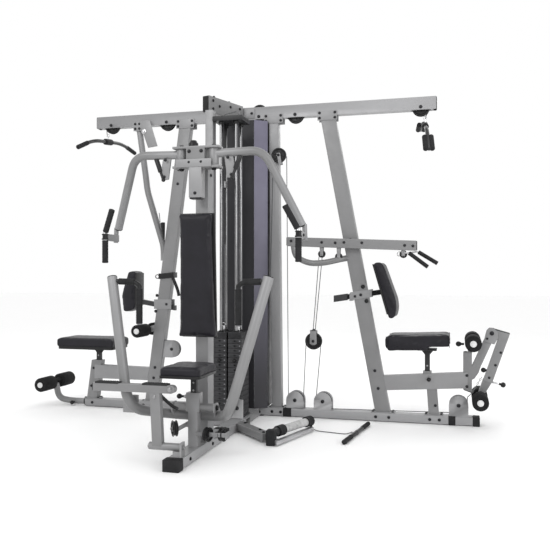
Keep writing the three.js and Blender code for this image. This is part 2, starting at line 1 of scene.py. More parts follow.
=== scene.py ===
"""Multi station home gym: the visual model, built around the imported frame.

Lengths are in millimetres until a piece is finished, and metres after that. +X runs along the right
boom, -Y out to the press station and +Z up.
"""
import math

import bmesh
import bpy
from mathutils import Matrix, Vector


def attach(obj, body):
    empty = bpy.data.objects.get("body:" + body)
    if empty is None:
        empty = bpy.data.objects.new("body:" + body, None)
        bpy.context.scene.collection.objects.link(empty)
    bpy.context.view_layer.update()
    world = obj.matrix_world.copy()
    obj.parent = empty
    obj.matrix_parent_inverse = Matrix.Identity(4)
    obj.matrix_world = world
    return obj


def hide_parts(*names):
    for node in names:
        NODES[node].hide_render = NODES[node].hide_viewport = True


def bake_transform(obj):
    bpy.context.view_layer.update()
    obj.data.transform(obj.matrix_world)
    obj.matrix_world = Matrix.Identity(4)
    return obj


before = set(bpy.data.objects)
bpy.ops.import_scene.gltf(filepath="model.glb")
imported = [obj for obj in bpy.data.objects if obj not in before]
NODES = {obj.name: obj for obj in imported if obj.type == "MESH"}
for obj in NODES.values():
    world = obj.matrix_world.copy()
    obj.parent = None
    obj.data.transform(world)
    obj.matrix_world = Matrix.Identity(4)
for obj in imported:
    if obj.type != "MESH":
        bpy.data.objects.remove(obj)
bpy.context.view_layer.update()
MM = 0.001

# ------------------------------------------------------------------ driving dimensions (mm)
RAIL_TOP, RAIL_MIDDLE = 56, 31
TUBE_HALF = 29
BOOM_BOTTOM, BOOM_TOP = 2022, 2104
RIGHT_UPRIGHT = {"foot": 865, "head": 498, "half": 49}
LEFT_UPRIGHT = {"foot": -778, "head": -515, "half": 44}
STACKS = {"left": (-115, -362), "right": (-15, -362)}
STACK_HALF = (45, 78)
STACK_BOTTOM, STACK_TOP, TOP_PLATE = 70, 556, 40
ROD_Y = 50
PRESS_Y, PRESS_Z = -1170, 262
FOOT = {"y": -1400, "z": 103, "bar_y": -1432, "bar_z": 394, "post_x": -102}
FLY = {"pivot": (92, -1122), "arm_z": 1605, "corner": 364, "end": (549, -978), "end_z": 1228, "tip_z": 1140}
PULLEY_R, PULLEY_AXLE_Z = 57, 2040
BOOM_PULLEYS = (277, 1108, -658, -1089)
TOP_WHEEL_Z = 2068
DOMES = ((277, 113), (467, 113), (1344, 127))
TOWER_WHEEL = (170, -46, 1765)
FLOATING = (400, 512)
CABLE_R = 2.5


# ------------------------------------------------------------------ camera, floor and light
def make_camera():
    camera = bpy.data.objects.new("camera", bpy.data.cameras.new("camera"))
    camera.location = (1.350, -4.626, 0.950)
    camera.rotation_euler = (math.radians(90), 0, math.radians(14.77))
    camera.data.lens = 45.82
    camera.data.sensor_width = 36
    camera.data.shift_y = 0.0018
    bpy.context.collection.objects.link(camera)
    bpy.context.scene.camera = camera


def area_light(name, place, target, size, power):
    light = bpy.data.lights.new(name, "AREA")
    light.size = size
    light.energy = power
    lamp = bpy.data.objects.new(name, light)
    lamp.location = place
    aim = Vector(target) - Vector(place)
    lamp.rotation_euler = aim.to_track_quat("-Z", "Y").to_euler()
    bpy.context.collection.objects.link(lamp)


def make_studio():
    world = bpy.data.worlds.new("studio")
    bpy.context.scene.world = world
    world.use_nodes = True
    world.node_tree.nodes["Background"].inputs["Color"].default_value = (1, 1, 1, 1)
    world.node_tree.nodes["Background"].inputs["Strength"].default_value = 1.0
    area_light("key", (-1.6, -5.2, 4.2), (0, -0.4, 0.9), 2.6, 78)
    area_light("fill", (4.6, -3.6, 2.6), (0.3, -0.3, 0.9), 2.4, 62)
    area_light("rim", (0.5, 4.2, 4.0), (0, 0, 1.0), 2.5, 40)
    bpy.context.scene.view_settings.view_transform = "Standard"


make_camera()
make_studio()


# ------------------------------------------------------------------ materials
class Paint:
    """A Principled material whose colour, roughness and bump come from object-space noise."""

    def __init__(self, name, color, roughness, metallic=0.0, vary=0.08, rough_vary=0.06, scale=9.0, **inputs):
        self.material = bpy.data.materials.new(name)
        self.material.use_nodes = True
        self.tree = self.material.node_tree
        self.shader = self.tree.nodes["Principled BSDF"]
        self.shader.inputs["Metallic"].default_value = metallic
        for key, value in inputs.items():
            self.shader.inputs[key.replace("_", " ")].default_value = value
        self.coords = self.tree.nodes.new("ShaderNodeTexCoord").outputs["Object"]
        cloud = self.noise(scale, 6.0)
        low = [c * (1 - vary) for c in color] + [1]
        high = [min(1.0, c * (1 + vary)) for c in color] + [1]
        self.color = self.ramp(cloud, low, high)
        self.shader.inputs["Base Color"].default_value = (*color, 1)
        self.link(self.color, "Base Color")
        grain = self.noise(scale * 3, 3.0)
        self.link(self.spread(grain, roughness - rough_vary, roughness + rough_vary), "Roughness")

    def node(self, kind, **inputs):
        made = self.tree.nodes.new(kind)
        for key, value in inputs.items():
            made.inputs[key.replace("_", " ")].default_value = value
        return made

    def join(self, a, b):
        self.tree.links.new(a, b)

    def link(self, output, socket):
        self.join(output, self.shader.inputs[socket])

    def noise(self, scale, detail):
        made = self.node("ShaderNodeTexNoise", Scale=scale, Detail=detail)
        self.join(self.coords, made.inputs["Vector"])
        return made.outputs["Fac"]

    def cells(self, scale, feature="F1"):
        made = self.node("ShaderNodeTexVoronoi", Scale=scale)
        made.feature = feature
        self.join(self.coords, made.inputs["Vector"])
        return made.outputs["Distance"]

    def ramp(self, value, low, high, start=0.35, end=0.65):
        made = self.tree.nodes.new("ShaderNodeValToRGB")
        made.color_ramp.elements[0].position = start
        made.color_ramp.elements[0].color = low
        made.color_ramp.elements[1].position = end
        made.color_ramp.elements[1].color = high
        self.join(value, made.inputs["Fac"])
        return made.outputs["Color"]

    def spread(self, value, low, high):
        made = self.node("ShaderNodeMapRange", From_Min=0.3, From_Max=0.7, To_Min=low, To_Max=high)
        self.join(value, made.inputs["Value"])
        return made.outputs["Result"]

    def bump(self, height, strength, distance=0.001):
        made = self.node("ShaderNodeBump", Strength=strength, Distance=distance)
        self.join(height, made.inputs["Height"])
        if self.shader.inputs["Normal"].is_linked:
            self.join(self.shader.inputs["Normal"].links[0].from_socket, made.inputs["Normal"])
        self.link(made.outputs["Normal"], "Normal")
        return self

    def worn(self, color, start=0.53, end=0.6):
        """Lightens convex edges, where paint rubs through first."""
        edge = self.node("ShaderNodeNewGeometry").outputs["Pointiness"]
        mask = self.node("ShaderNodeMapRange", From_Min=start, From_Max=end, To_Min=0.0, To_Max=0.55)
        self.join(edge, mask.inputs["Value"])
        mix = self.tree.nodes.new("ShaderNodeMix")
        mix.data_type = "RGBA"
        self.join(mask.outputs["Result"], mix.inputs["Factor"])
        self.join(self.color, mix.inputs[6])
        mix.inputs[7].default_value = (*color, 1)
        self.color = mix.outputs[2]
        self.link(self.color, "Base Color")
        return self


def powder_coat(name, color, roughness=0.4, metallic=0.2, light=(0.42, 0.42, 0.43), shine=0.35):
    paint = Paint(name, color, roughness, metallic, vary=0.05, scale=7.0, Specular_IOR_Level=shine)
    paint.bump(paint.noise(900, 2.0), 0.12, 0.0004)
    return paint.worn(light).material


def painted_reflection_trim(name, color):
    """The folded corner of the stack cover: its lilac grey is a painted reflection of light on the fold, and
    it is lighter towards the top because painted shade darkens it towards the bottom.
    """
    paint = Paint(name, color, 0.42, 0.1, vary=0.05, scale=7.0, Specular_IOR_Level=0.3)
    paint.bump(paint.noise(900, 2.0), 0.12, 0.0004)
    # Painted shade: the colour fades from full at 1.5 m to near black at 0.2 m.
    split = paint.node("ShaderNodeSeparateXYZ")
    paint.join(paint.coords, split.inputs["Vector"])
    share = paint.node("ShaderNodeMapRange", From_Min=0.2, From_Max=1.5, To_Min=0.0, To_Max=1.0)
    paint.join(split.outputs["Z"], share.inputs["Value"])
    mix = paint.tree.nodes.new("ShaderNodeMix")
    mix.data_type = "RGBA"
    paint.join(share.outputs["Result"], mix.inputs["Factor"])
    mix.inputs[6].default_value = (0.055, 0.054, 0.06, 1)
    paint.join(paint.color, mix.inputs[7])
    paint.link(mix.outputs[2], "Base Color")
    return paint.material


def rubber(name, color=(0.012, 0.012, 0.013), roughness=0.7):
    paint = Paint(name, color, roughness, vary=0.25, scale=30.0, Specular_IOR_Level=0.3)
    return paint.bump(paint.noise(1400, 3.0), 0.35, 0.0005).material


def foam():
    paint = Paint("roller_foam", (0.01, 0.01, 0.0105), 0.88, vary=0.3, scale=60.0, Specular_IOR_Level=0.25)
    paint.bump(paint.cells(900), 0.5, 0.0006)
    return paint.bump(paint.noise(45, 4.0), 0.25, 0.002).material


def vinyl():
    paint = Paint("pad_vinyl", (0.0095, 0.0088, 0.0125), 0.44, vary=0.16, scale=14.0, Specular_IOR_Level=0.26,
                  Sheen_Weight=0.02)
    paint.bump(paint.cells(620, "DISTANCE_TO_EDGE"), 0.35, 0.0005)
    return paint.bump(paint.noise(28, 5.0), 0.18, 0.003).material


def bright(name, color, roughness, streak=0.04):
    paint = Paint(name, color, roughness, 1.0, vary=0.05, rough_vary=streak, scale=40.0)
    return paint.bump(paint.noise(1600, 2.0), 0.06, 0.0003).material


def iron():
    paint = Paint("plate_iron", (0.022, 0.022, 0.024), 0.52, 0.5, vary=0.3, scale=22.0)
    paint.bump(paint.noise(380, 6.0), 0.4, 0.0008)
    return paint.worn((0.16, 0.16, 0.165), 0.54, 0.64).material


def nylon(name, color, roughness=0.34):
    paint = Paint(name, color, roughness, vary=0.12, scale=18.0, Specular_IOR_Level=0.3)
    return paint.bump(paint.noise(700, 2.0), 0.1, 0.0004).material


def wire_rope():
    """Coated wire rope: fine slanted lay lines under a glossy jacket."""
    paint = Paint("wire_rope", (0.05, 0.05, 0.055), 0.32, 0.2, vary=0.2, scale=40.0)
    wave = paint.node("ShaderNodeTexWave", Scale=260.0, Distortion=0.6)
    wave.bands_direction = "DIAGONAL"
    paint.join(paint.coords, wave.inputs["Vector"])
    return paint.bump(wave.outputs["Fac"], 0.5, 0.0006).material


def tread():
    """Grip surface: rows of raised lozenges in black rubber."""
    paint = Paint("tread_rubber", (0.012, 0.012, 0.013), 0.72, vary=0.25, scale=30.0)
    checker = paint.node("ShaderNodeTexChecker", Scale=160.0)
    paint.join(paint.coords, checker.inputs["Vector"])
    return paint.bump(checker.outputs["Fac"], 0.8, 0.0012).material


def floor_material():
    paint = Paint("studio_floor", (0.975, 0.975, 0.975), 0.7, vary=0.004, scale=1.5)
    return paint.bump(paint.noise(120, 3.0), 0.02, 0.0005).material


SILVER = powder_coat("silver_paint", (0.2, 0.2, 0.202))
BLACK = powder_coat("black_paint", (0.009, 0.009, 0.0095), 0.36, 0.0, (0.06, 0.06, 0.063), 0.3)
COVER = powder_coat("cover_paint", (0.009, 0.0088, 0.0105), 0.4, 0.0, (0.05, 0.05, 0.055), 0.22)
# The trim's lilac grey is a painted reflection; the material also paints shade low down.
TRIM_PAINTED_REFLECTION = painted_reflection_trim("trim_painted_reflection_and_shade", (0.155, 0.148, 0.2))
RUBBER = rubber("black_rubber")
FOAM = foam()
VINYL = vinyl()
CHROME = bright("chrome", (0.6, 0.6, 0.61), 0.12)
ROD_STEEL = bright("rod_steel", (0.26, 0.26, 0.265), 0.2)
ZINC = bright("zinc", (0.3, 0.3, 0.305), 0.34)
BOLT = bright("black_oxide", (0.035, 0.035, 0.037), 0.38)
IRON = iron()
NYLON = nylon("black_nylon", (0.009, 0.009, 0.0095))
SLEEVE = rubber("grey_sleeve", (0.42, 0.42, 0.42), 0.5)
GREY_NYLON = nylon("grey_nylon", (0.2, 0.2, 0.21), 0.45)
WHITE_NYLON = nylon("white_nylon", (0.62, 0.62, 0.62), 0.4)
ROPE = wire_rope()
TREAD = tread()


def make_floor():
    mesh = bpy.data.meshes.new("floor")
    reach = 30
    mesh.from_pydata([(-reach, -reach, 0), (reach, -reach, 0), (reach, reach, 0), (-reach, reach, 0)], [],
                     [(0, 1, 2, 3)])
    floor = bpy.data.objects.new("floor", mesh)
    mesh.materials.append(floor_material())
    bpy.context.collection.objects.link(floor)


make_floor()


# ------------------------------------------------------------------ mesh building
def basis(along):
    """A turn that takes +Z to the direction along."""
    return Vector(along).to_track_quat("Z", "Y").to_matrix().to_4x4()


def bent_line(points, bend, steps=8):
    """Straight runs with a round bend at every inner point."""
    points = [Vector(p) for p in points]
    line = [points[0]]
    for before, corner, after in zip(points, points[1:], points[2:]):
        back, on = before - corner, after - corner
        reach = min(bend, back.length / 2.1, on.length / 2.1)
        start, end = corner + back.normalized() * reach, corner + on.normalized() * reach
        for i in range(steps + 1):
            t = i / steps
            line.append(start * (1 - t) ** 2 + corner * (2 * t * (1 - t)) + end * t ** 2)
    return line + [points[-1]]


class Piece:
    """One visible object on one CAD body, gathered from closed solids given in millimetres."""

    def __init__(self, name, material, body="frame"):
        self.name, self.material, self.body = name, material, body
        self.bm = bmesh.new()

    def absorb(self, bm):
        mesh = bpy.data.meshes.new("part")
        bm.to_mesh(mesh)
        bm.free()
        self.bm.from_mesh(mesh)
        bpy.data.meshes.remove(mesh)
        return self

    def hull_of_rings(self, rings):
        """A closed skin over rings of equal count, with flat ends."""
        bm = bmesh.new()
        loops = [[bm.verts.new(p) for p in ring] for ring in rings]
        count = len(loops[0])
        for a, b in zip(loops, loops[1:]):
            for i in range(count):
                j = (i + 1) % count
                bm.faces.new((a[i], a[j], b[j], b[i]))
        bm.faces.new(list(reversed(loops[0])))
        bm.faces.new(loops[-1])
        bmesh.ops.recalc_face_normals(bm, faces=bm.faces)
        return self.absorb(bm)

    def prism(self, outline, axis, low, high, bevel=1.5, segments=2):
        """An outline carried along axis: (x, y) along Z, (x, z) along Y or (y, z) along X."""
        place = {"Z": lambda u, v, w: (u, v, w), "Y": lambda u, v, w: (u, w, v),
                 "X": lambda u, v, w: (w, u, v)}[axis]
        bm = bmesh.new()
        ends = [[bm.verts.new(place(u, v, w)) for u, v in outline] for w in (low, high)]
        count = len(outline)
        for i in range(count):
            j = (i + 1) % count
            bm.faces.new((ends[0][i], ends[0][j], ends[1][j], ends[1][i]))
        bm.faces.new(ends[0])
        bm.faces.new(ends[1])
        bmesh.ops.recalc_face_normals(bm, faces=bm.faces)
        if bevel:
            soften(bm, bevel, segments)
        return self.absorb(bm)

    def box(self, low, high, bevel=1.5, segments=2):
        (x0, y0, z0), (x1, y1, z1) = low, high
        return self.prism([(x0, y0), (x1, y0), (x1, y1), (x0, y1)], "Z", z0, z1, bevel, segments)

    def lathe(self, start, along, profile, sides=32):
        """A turned solid: profile is (distance along the axis, radius) from end to end."""
        turn = Matrix.Translation(Vector(start)) @ basis(along)
        rings = []
        for h, r in profile:
            ring = [(r * math.cos(a), r * math.sin(a), h) for a in
                    (2 * math.pi * i / sides for i in range(sides))]
            rings.append([turn @ Vector(p) for p in ring])
        return self.hull_of_rings(rings)

    def rod(self, a, b, radius, chamfer=1.0, sides=24):
        along = Vector(b) - Vector(a)
        size = along.length
        c = min(chamfer, radius * 0.5, size * 0.3)
        return self.lathe(a, along, [(0, radius - c), (c * 0.3, radius - c * 0.3), (c, radius),
                                     (size - c, radius),
                                     (size - c * 0.3, radius - c * 0.3), (size, radius - c)], sides)

    def tube(self, points, radius, bend=60, sides=24, steps=8):
        line = bent_line(points, bend, steps)
        rings, frame_up = [], None
        for i, here in enumerate(line):
            along = (line[min(i + 1, len(line) - 1)] - line[max(i - 1, 0)]).normalized()
            if frame_up is None:
                frame_up = along.orthogonal().normalized()
            frame_up = (frame_up - along * frame_up.dot(along)).normalized()
            side = along.cross(frame_up)
            rings.append([here + frame_up * (radius * math.cos(a)) + side * (radius * math.sin(a))
                          for a in (2 * math.pi * k / sides for k in range(sides))])
        return self.hull_of_rings(rings)

    def ball(self, centre, radius, sides=24):
        steps = 10
        profile = [(-radius * math.cos(math.pi * i / steps),
                    max(radius * math.sin(math.pi * i / steps), 0.05)) for i in range(steps + 1)]
        return self.lathe(centre, (0, 0, 1), profile, sides)

    def ring(self, centre, axis, radius, wire, sides=28):
        """A closed wire ring."""
        turn = Matrix.Translation(Vector(centre)) @ basis(axis)
        bm = bmesh.new()
        around = 10
        loops = []
        for i in range(sides):
            a = 2 * math.pi * i / sides
            loops.append([bm.verts.new(turn @ Vector(((radius + wire * math.cos(b)) * math.cos(a),
                          (radius + wire * math.cos(b)) * math.sin(a), wire * math.sin(b))))
                          for b in (2 * math.pi * k / around for k in range(around))])
        for i in range(sides):
            for k in range(around):
                m, n = (i + 1) % sides, (k + 1) % around
                bm.faces.new((loops[i][k], loops[m][k], loops[m][n], loops[i][n]))
        bmesh.ops.recalc_face_normals(bm, faces=bm.faces)
        return self.absorb(bm)

    def node(self, name, bevel=2.0, sharp=50, segments=2):
        """The CAD node's own shape, with its hard edges rounded."""
        bm = bmesh.new()
        bm.from_mesh(NODES[name].data)
        bmesh.ops.transform(bm, matrix=Matrix.Scale(1 / MM, 4), verts=bm.verts)
        bmesh.ops.remove_doubles(bm, verts=bm.verts, dist=0.02)
        bmesh.ops.dissolve_limit(bm, angle_limit=math.radians(0.6), verts=bm.verts, edges=bm.edges)
        if bevel:
            soften(bm, bevel, segments, sharp)
        return self.absorb(bm)

    def done(self, *replaced, smooth=42):
        bmesh.ops.transform(self.bm, matrix=Matrix.Scale(MM, 4), verts=self.bm.verts)
        bmesh.ops.triangulate(self.bm, faces=[f for f in self.bm.faces if len(f.verts) > 4])
        mesh = bpy.data.meshes.new(self.name)
        self.bm.to_mesh(mesh)
        self.bm.free()
        mesh.shade_smooth()
        mesh.set_sharp_from_angle(angle=math.radians(smooth))
        mesh.materials.append(self.material)
        made = bpy.data.objects.new(self.name, mesh)
        bpy.context.collection.objects.link(made)
        if self.body:
            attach(made, self.body)
        if replaced:
            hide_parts(*replaced)
        return made


def from_cad(bevel, **pieces):
    """Silver pieces that keep the shape of their CAD node."""
    for name, node in pieces.items():
        Piece(name, SILVER).node(node, bevel).done(node)


def finish(*pieces):
    for piece in pieces:
        piece.done()


def soften(bm, width, segments=2, sharp=30):
    """Rounds the edges that turn by more than sharp degrees."""
    bm.normal_update()
    edges = [e for e in bm.edges if e.is_manifold and e.calc_face_angle(0) > math.radians(sharp)]
    if edges:
        bmesh.ops.bevel(bm, geom=edges, offset=width, segments=segments, profile=0.6, affect="EDGES",
                        clamp_overlap=True)


def hex_bolt(piece, centre, out, size=8):
    """A hex bolt head with its washer, standing out of a face at centre."""
    centre, out = Vector(centre), Vector(out).normalized()
    piece.lathe(centre, out, [(0, size * 1.25), (1.6, size * 1.25), (2, size * 1.15)], 20)
    piece.lathe(centre, out, [(1, size), (size * 0.72, size), (size * 0.85, size * 0.82)], 6)


def bolt_pair(piece, centre, out, half, size=8):
    """Bolt heads on two opposite faces, half away from centre along out."""
    out = Vector(out)
    for sign in (-1, 1):
        hex_bolt(piece, Vector(centre) + out * (sign * half), out * sign, size)


def through_bolt(piece, x, z, half, size=8, y=0):
    """A bolt along Y through a part: head in front and nut with a stub of thread behind."""
    hex_bolt(piece, (x, y - half, z), (0, -1, 0), size)
    hex_bolt(piece, (x, y + half, z), (0, 1, 0), size)
    piece.rod((x, y + half, z), (x, y + half + size * 1.3, z), size * 0.5, 0.6, 12)


def knob_profile(radius, length):
    """A turned ball grip on a short neck."""
    neck = radius * 0.45
    profile = [(0, neck), (length * 0.35, neck), (length * 0.4, radius * 0.7)]
    for i in range(1, 9):
        a = math.pi * (0.15 + 0.85 * i / 8)
        profile.append((length * 0.7 - radius * math.cos(a), max(radius * math.sin(a), 0.2)))
    return profile


def ribbed_grip(piece, a, b, radius, pitch=9.0, depth=1.1):
    """A moulded rubber hand grip: ring grooves between plain collars."""
    along = Vector(b) - Vector(a)
    size = along.length
    profile = [(0, radius * 0.72), (1.5, radius * 0.95), (3, radius)]
    here = 9.0
    while here < size - 9:
        profile += [(here, radius), (here + pitch * 0.2, radius - depth),
                    (here + pitch * 0.4, radius - depth),
                    (here + pitch * 0.6, radius)]
        here += pitch
    profile += [(size - 3, radius), (size - 1.5, radius * 0.95), (size, radius * 0.72)]
    piece.lathe(a, along, profile, 28)


# ------------------------------------------------------------------ the free cord and its bar
LOW_CABLE = [(470, -424, 30), (474, -424, 24), (480, -424, 17.5), (487, -424.5, 12), (495, -425, 8.5),
             (505, -426, 5.8), (516, -427.5, 4.3), (540, -432, 3.2), (562, -435.5, 3), (585, -440, 3),
             (610, -446, 3), (635, -452, 3), (655, -457, 3), (675, -460.5, 3.2), (690, -462, 4.4),
             (703, -462, 7), (716, -462, 11)]
ROW_BAR_MIDDLE = Vector((756, -455, 15))
ROW_BAR_ALONG = Vector((0.131, 0.991, 0)).normalized()


def smooth_line(points, steps):
    """A Catmull-Rom line through the points."""
    points = [Vector(p) for p in points]
    line = []
    for i in range(len(points) - 1):
        p0, p1 = points[max(i - 1, 0)], points[i]
        p2, p3 = points[i + 1], points[min(i + 2, len(points) - 1)]
        for k in range(steps):
            t = k / steps
            line.append(0.5 * ((2 * p1) + (p2 - p0) * t + (2 * p0 - 5 * p1 + 4 * p2 - p3) * t ** 2
                               + (3 * p1 - p0 - 3 * p2 + p3) * t ** 3))
    return line + [points[-1]]


def row_bar():
    half = 270
    a, b = ROW_BAR_MIDDLE - ROW_BAR_ALONG * half, ROW_BAR_MIDDLE + ROW_BAR_ALONG * half
    bar = Piece("row_bar_tube", BLACK)
    bar.rod(a + ROW_BAR_ALONG * 120, b - ROW_BAR_ALONG * 120, 12, 1)
    bar.lathe(ROW_BAR_MIDDLE - ROW_BAR_ALONG * 16, ROW_BAR_ALONG, [(0, 12), (1, 14), (31, 14), (32, 12)], 24)
    bar.done("row_bar")
    grips = Piece("row_bar_grips", RUBBER)
    ribbed_grip(grips, a, a + ROW_BAR_ALONG * 150, 14)
    ribbed_grip(grips, b, b - ROW_BAR_ALONG * 150, 14)
    grips.done()
    hook = Piece("row_bar_link", ZINC)
    hook.tube([(716, -462, 11), (726, -460, 13), (738, -459, 14), (748, -457, 14)], 4, 6, 12)
    hook.ring((728, -460, 13), (0.1, -0.2, 1), 9, 2.4, 20)
    return hook.done()


def low_cable():
    line = smooth_line(LOW_CABLE, 4)
    cord = Piece("low_row_cable", ROPE)
    cord.tube(line, CABLE_R, 0.5, 12, 1)
    made = cord.done("low_cable")
    row_bar()


low_cable()


# ------------------------------------------------------------------ base, tower, booms and uprights
def slanted(upright, z):
    """Level centre of a slanted upright at height z."""
    return upright["foot"] + (upright["head"] - upright["foot"]) * (z - RAIL_TOP) / (BOOM_BOTTOM - RAIL_TOP)


def slanted_tube(piece, upright):
    half = upright["half"]
    foot, head = upright["foot"], upright["head"]
    outline = [(foot - half, RAIL_TOP + 0.3), (foot + half, RAIL_TOP + 0.3), (head + half, BOOM_BOTTOM - 0.3),
               (head - half, BOOM_BOTTOM - 0.3)]
    return piece.prism(outline, "Y", -TUBE_HALF, TUBE_HALF, 3.5, 3)


def foot_plate(piece, bolts, x, y, half_x, half_y, spread_x, spread_y):
    """A welded foot plate on a base rail, held by four bolts."""
    piece.box((x - half_x, y - half_y, RAIL_TOP), (x + half_x, y + half_y, RAIL_TOP + 7), 1.5)
    for sx in (-1, 1):
        for sy in (-1, 1):
            hex_bolt(bolts, (x + sx * spread_x, y + sy * spread_y, RAIL_TOP + 7), (0, 0, 1), 7)


def base():
    from_cad(3, base_front_rail="base_front", base_right_rail="base_right", base_left_rail="base_left")
    for name in ("foot_front", "foot_right", "foot_rear"):
        Piece(name + "_cap", RUBBER).node(name, 1.5 if name == "foot_rear" else 6, 40, 3).done(name)
    saddles = Piece("rail_saddles", RUBBER)
    for low, high, bevel in (((1281, -43, 0.5), (1325, 43, 59), 5), ((196, -44, 0.5), (254, 43, 60), 6),
                             ((-43, -760, 0.5), (43, -716, 59), 5)):
        saddles.box(low, high, bevel, 3)
    saddles.done()
    caps = Piece("rail_end_caps", NYLON)
    caps.box((-1299, -37, 9), (-1294, 37, 53), 1.5)
    for x in (-225, 60):
        caps.box((x - 3, -437, 9), (x + 3, -363, 53), 1.5)
    caps.done()


def base_fixings():
    plates = Piece("foot_plates", SILVER)
    bolts = Piece("base_bolts", BOLT)
    for place in ((RIGHT_UPRIGHT["foot"], 0, 78, 38, 64, 27), (LEFT_UPRIGHT["foot"], 0, 72, 38, 58, 27),
                  (150, 0, 58, 38, 46, 27), (0, -1015, 38, 78, 27, 64), (-190, -400, 45, 46, 36, 37),
                  (1190, 0, 58, 34, 48, 25), (-1245, 0, 58, 34, 50, 25)):
        foot_plate(plates, bolts, *place)
    for x in (120, 180, 820, 905, 1165, 1225, -730, -830, -1235):
        bolt_pair(bolts, (x, 0, RAIL_MIDDLE), (0, 1, 0), 40)
    for y in (-70, -560, -1000, -1330):
        bolt_pair(bolts, (0, y, RAIL_MIDDLE), (1, 0, 0), 40)
    for x, z in DOMES:
        through_bolt(bolts, x, z, 34, 10)
    finish(plates, bolts)


def tower():
    from_cad(3, tower_post_front="tower_post_left", tower_post_rear="tower_post_right")
    cap = Piece("head_beam_cap", NYLON)
    front, back = Vector((-228, -384)), Vector((-106, -40))
    along = (front - back).normalized()
    side = Vector((-along.y, along.x)) * 22
    near, far = front - along * 1, front + along * 6
    cap.prism([tuple(near - side), tuple(near + side), tuple(far + side), tuple(far - side)],
              "Z", 2007, 2107, 1.5)
    cap.done()
    bolts = Piece("head_beam_bolts", BOLT)
    outward = Vector((-along.y, along.x, 0))
    for share, z in ((0.12, 2085), (0.12, 2032), (0.3, 2060), (0.62, 2078), (0.9, 2085), (0.9, 2032)):
        spot = front.lerp(back, share)
        for sign in (-1, 1):
            face = Vector((spot.x, spot.y, 0)) + outward * (sign * 24.5)
            hex_bolt(bolts, (face.x, face.y, z), outward * sign, 7.5)
    for x, y in ((-190, -340), (-140, -180)):
        hex_bolt(bolts, (x, y, 2110), (0, 0, 1), 7.5)
    bolts.done()


def booms():
    from_cad(3, boom_right_tube="boom_right", boom_left_tube="boom_left")
    caps = Piece("boom_end_caps", NYLON)
    for x, out in ((1205, 1), (-1202, -1)):
        x0, x1 = sorted((x - out, x + 4 * out))
        caps.box((x0, -26, BOOM_BOTTOM + 3), (x1, 26, BOOM_TOP - 3), 1.5)
    caps.done()
    straps = Piece("boom_straps", SILVER)
    bolts = Piece("boom_bolts", BOLT)
    for x in BOOM_PULLEYS + (23,):
        through_bolt(bolts, x, PULLEY_AXLE_Z, TUBE_HALF, 9)
    for head in (RIGHT_UPRIGHT["head"], LEFT_UPRIGHT["head"], 127, -880):
        half = 30 if head == -880 else 66
        for y in (-33, 29):
            straps.box((head - half, y, BOOM_BOTTOM - 34), (head + half, y + 4, BOOM_BOTTOM + 30), 1.2)
        for sx in (-1, 1):
            for z in (BOOM_BOTTOM + 16, BOOM_BOTTOM - 18):
                through_bolt(bolts, head + sx * (half - 14), z, 33, 7.5)
    middle = -60
    for x in (middle - 34, middle + 34):
        through_bolt(bolts, x, 2063, 33, 7.5)
    for y in (-33, 29):
        straps.box((middle - 55, y, BOOM_BOTTOM + 8), (middle + 55, y + 4, BOOM_TOP - 8), 1.2)
    straps.prism([(-869, 2063), (-782, 2058), (-722, 1871), (-795, 1862)], "Y", -36, -32.5, 1.2)
    straps.done()
    lug = Piece("boom_plate_lug", CHROME)
    lug.lathe((-828, -36, 1980), (0, -1, 0), [(0, 17), (3, 17), (4, 12), (12, 11), (14, 8)], 28)
    finish(lug, bolts)


def uprights():
    slanted_tube(Piece("upright_right_tube", SILVER), RIGHT_UPRIGHT).done("upright_right")
    left = Piece("upright_left_tube", SILVER)
    slanted_tube(left, LEFT_UPRIGHT)
    left.tube([(-880, 0, 2018), (-828, 0, 1660), (-816, 0, 1560), (-744, 0, 1330), (-690, 0, 1160),
               (-690, 0, 1060)],
              22, 90, 32)
    left.box((-905, -24, 1990), (-855, 24, BOOM_BOTTOM), 2)
    guard = [(-735, 492), (-735, 372), (-622, 372)]
    guard += [(-622 + 58 * math.cos(a), 432 + 60 * math.sin(a)) for a in
              (math.radians(d) for d in range(-90, 91, 12))]
    for y in (-20, 15):
        left.prism(guard, "Y", y, y + 5, 1.2)
    for y in (-22, 16):
        left.prism([(-760, 600), (-806, 584), (-812, 556), (-790, 548), (-745, 560)], "Y", y, y + 6, 1.2)
    left.done("upright_left")
    upright_fittings()


SLEEVE_SIDES = (-33, 27)


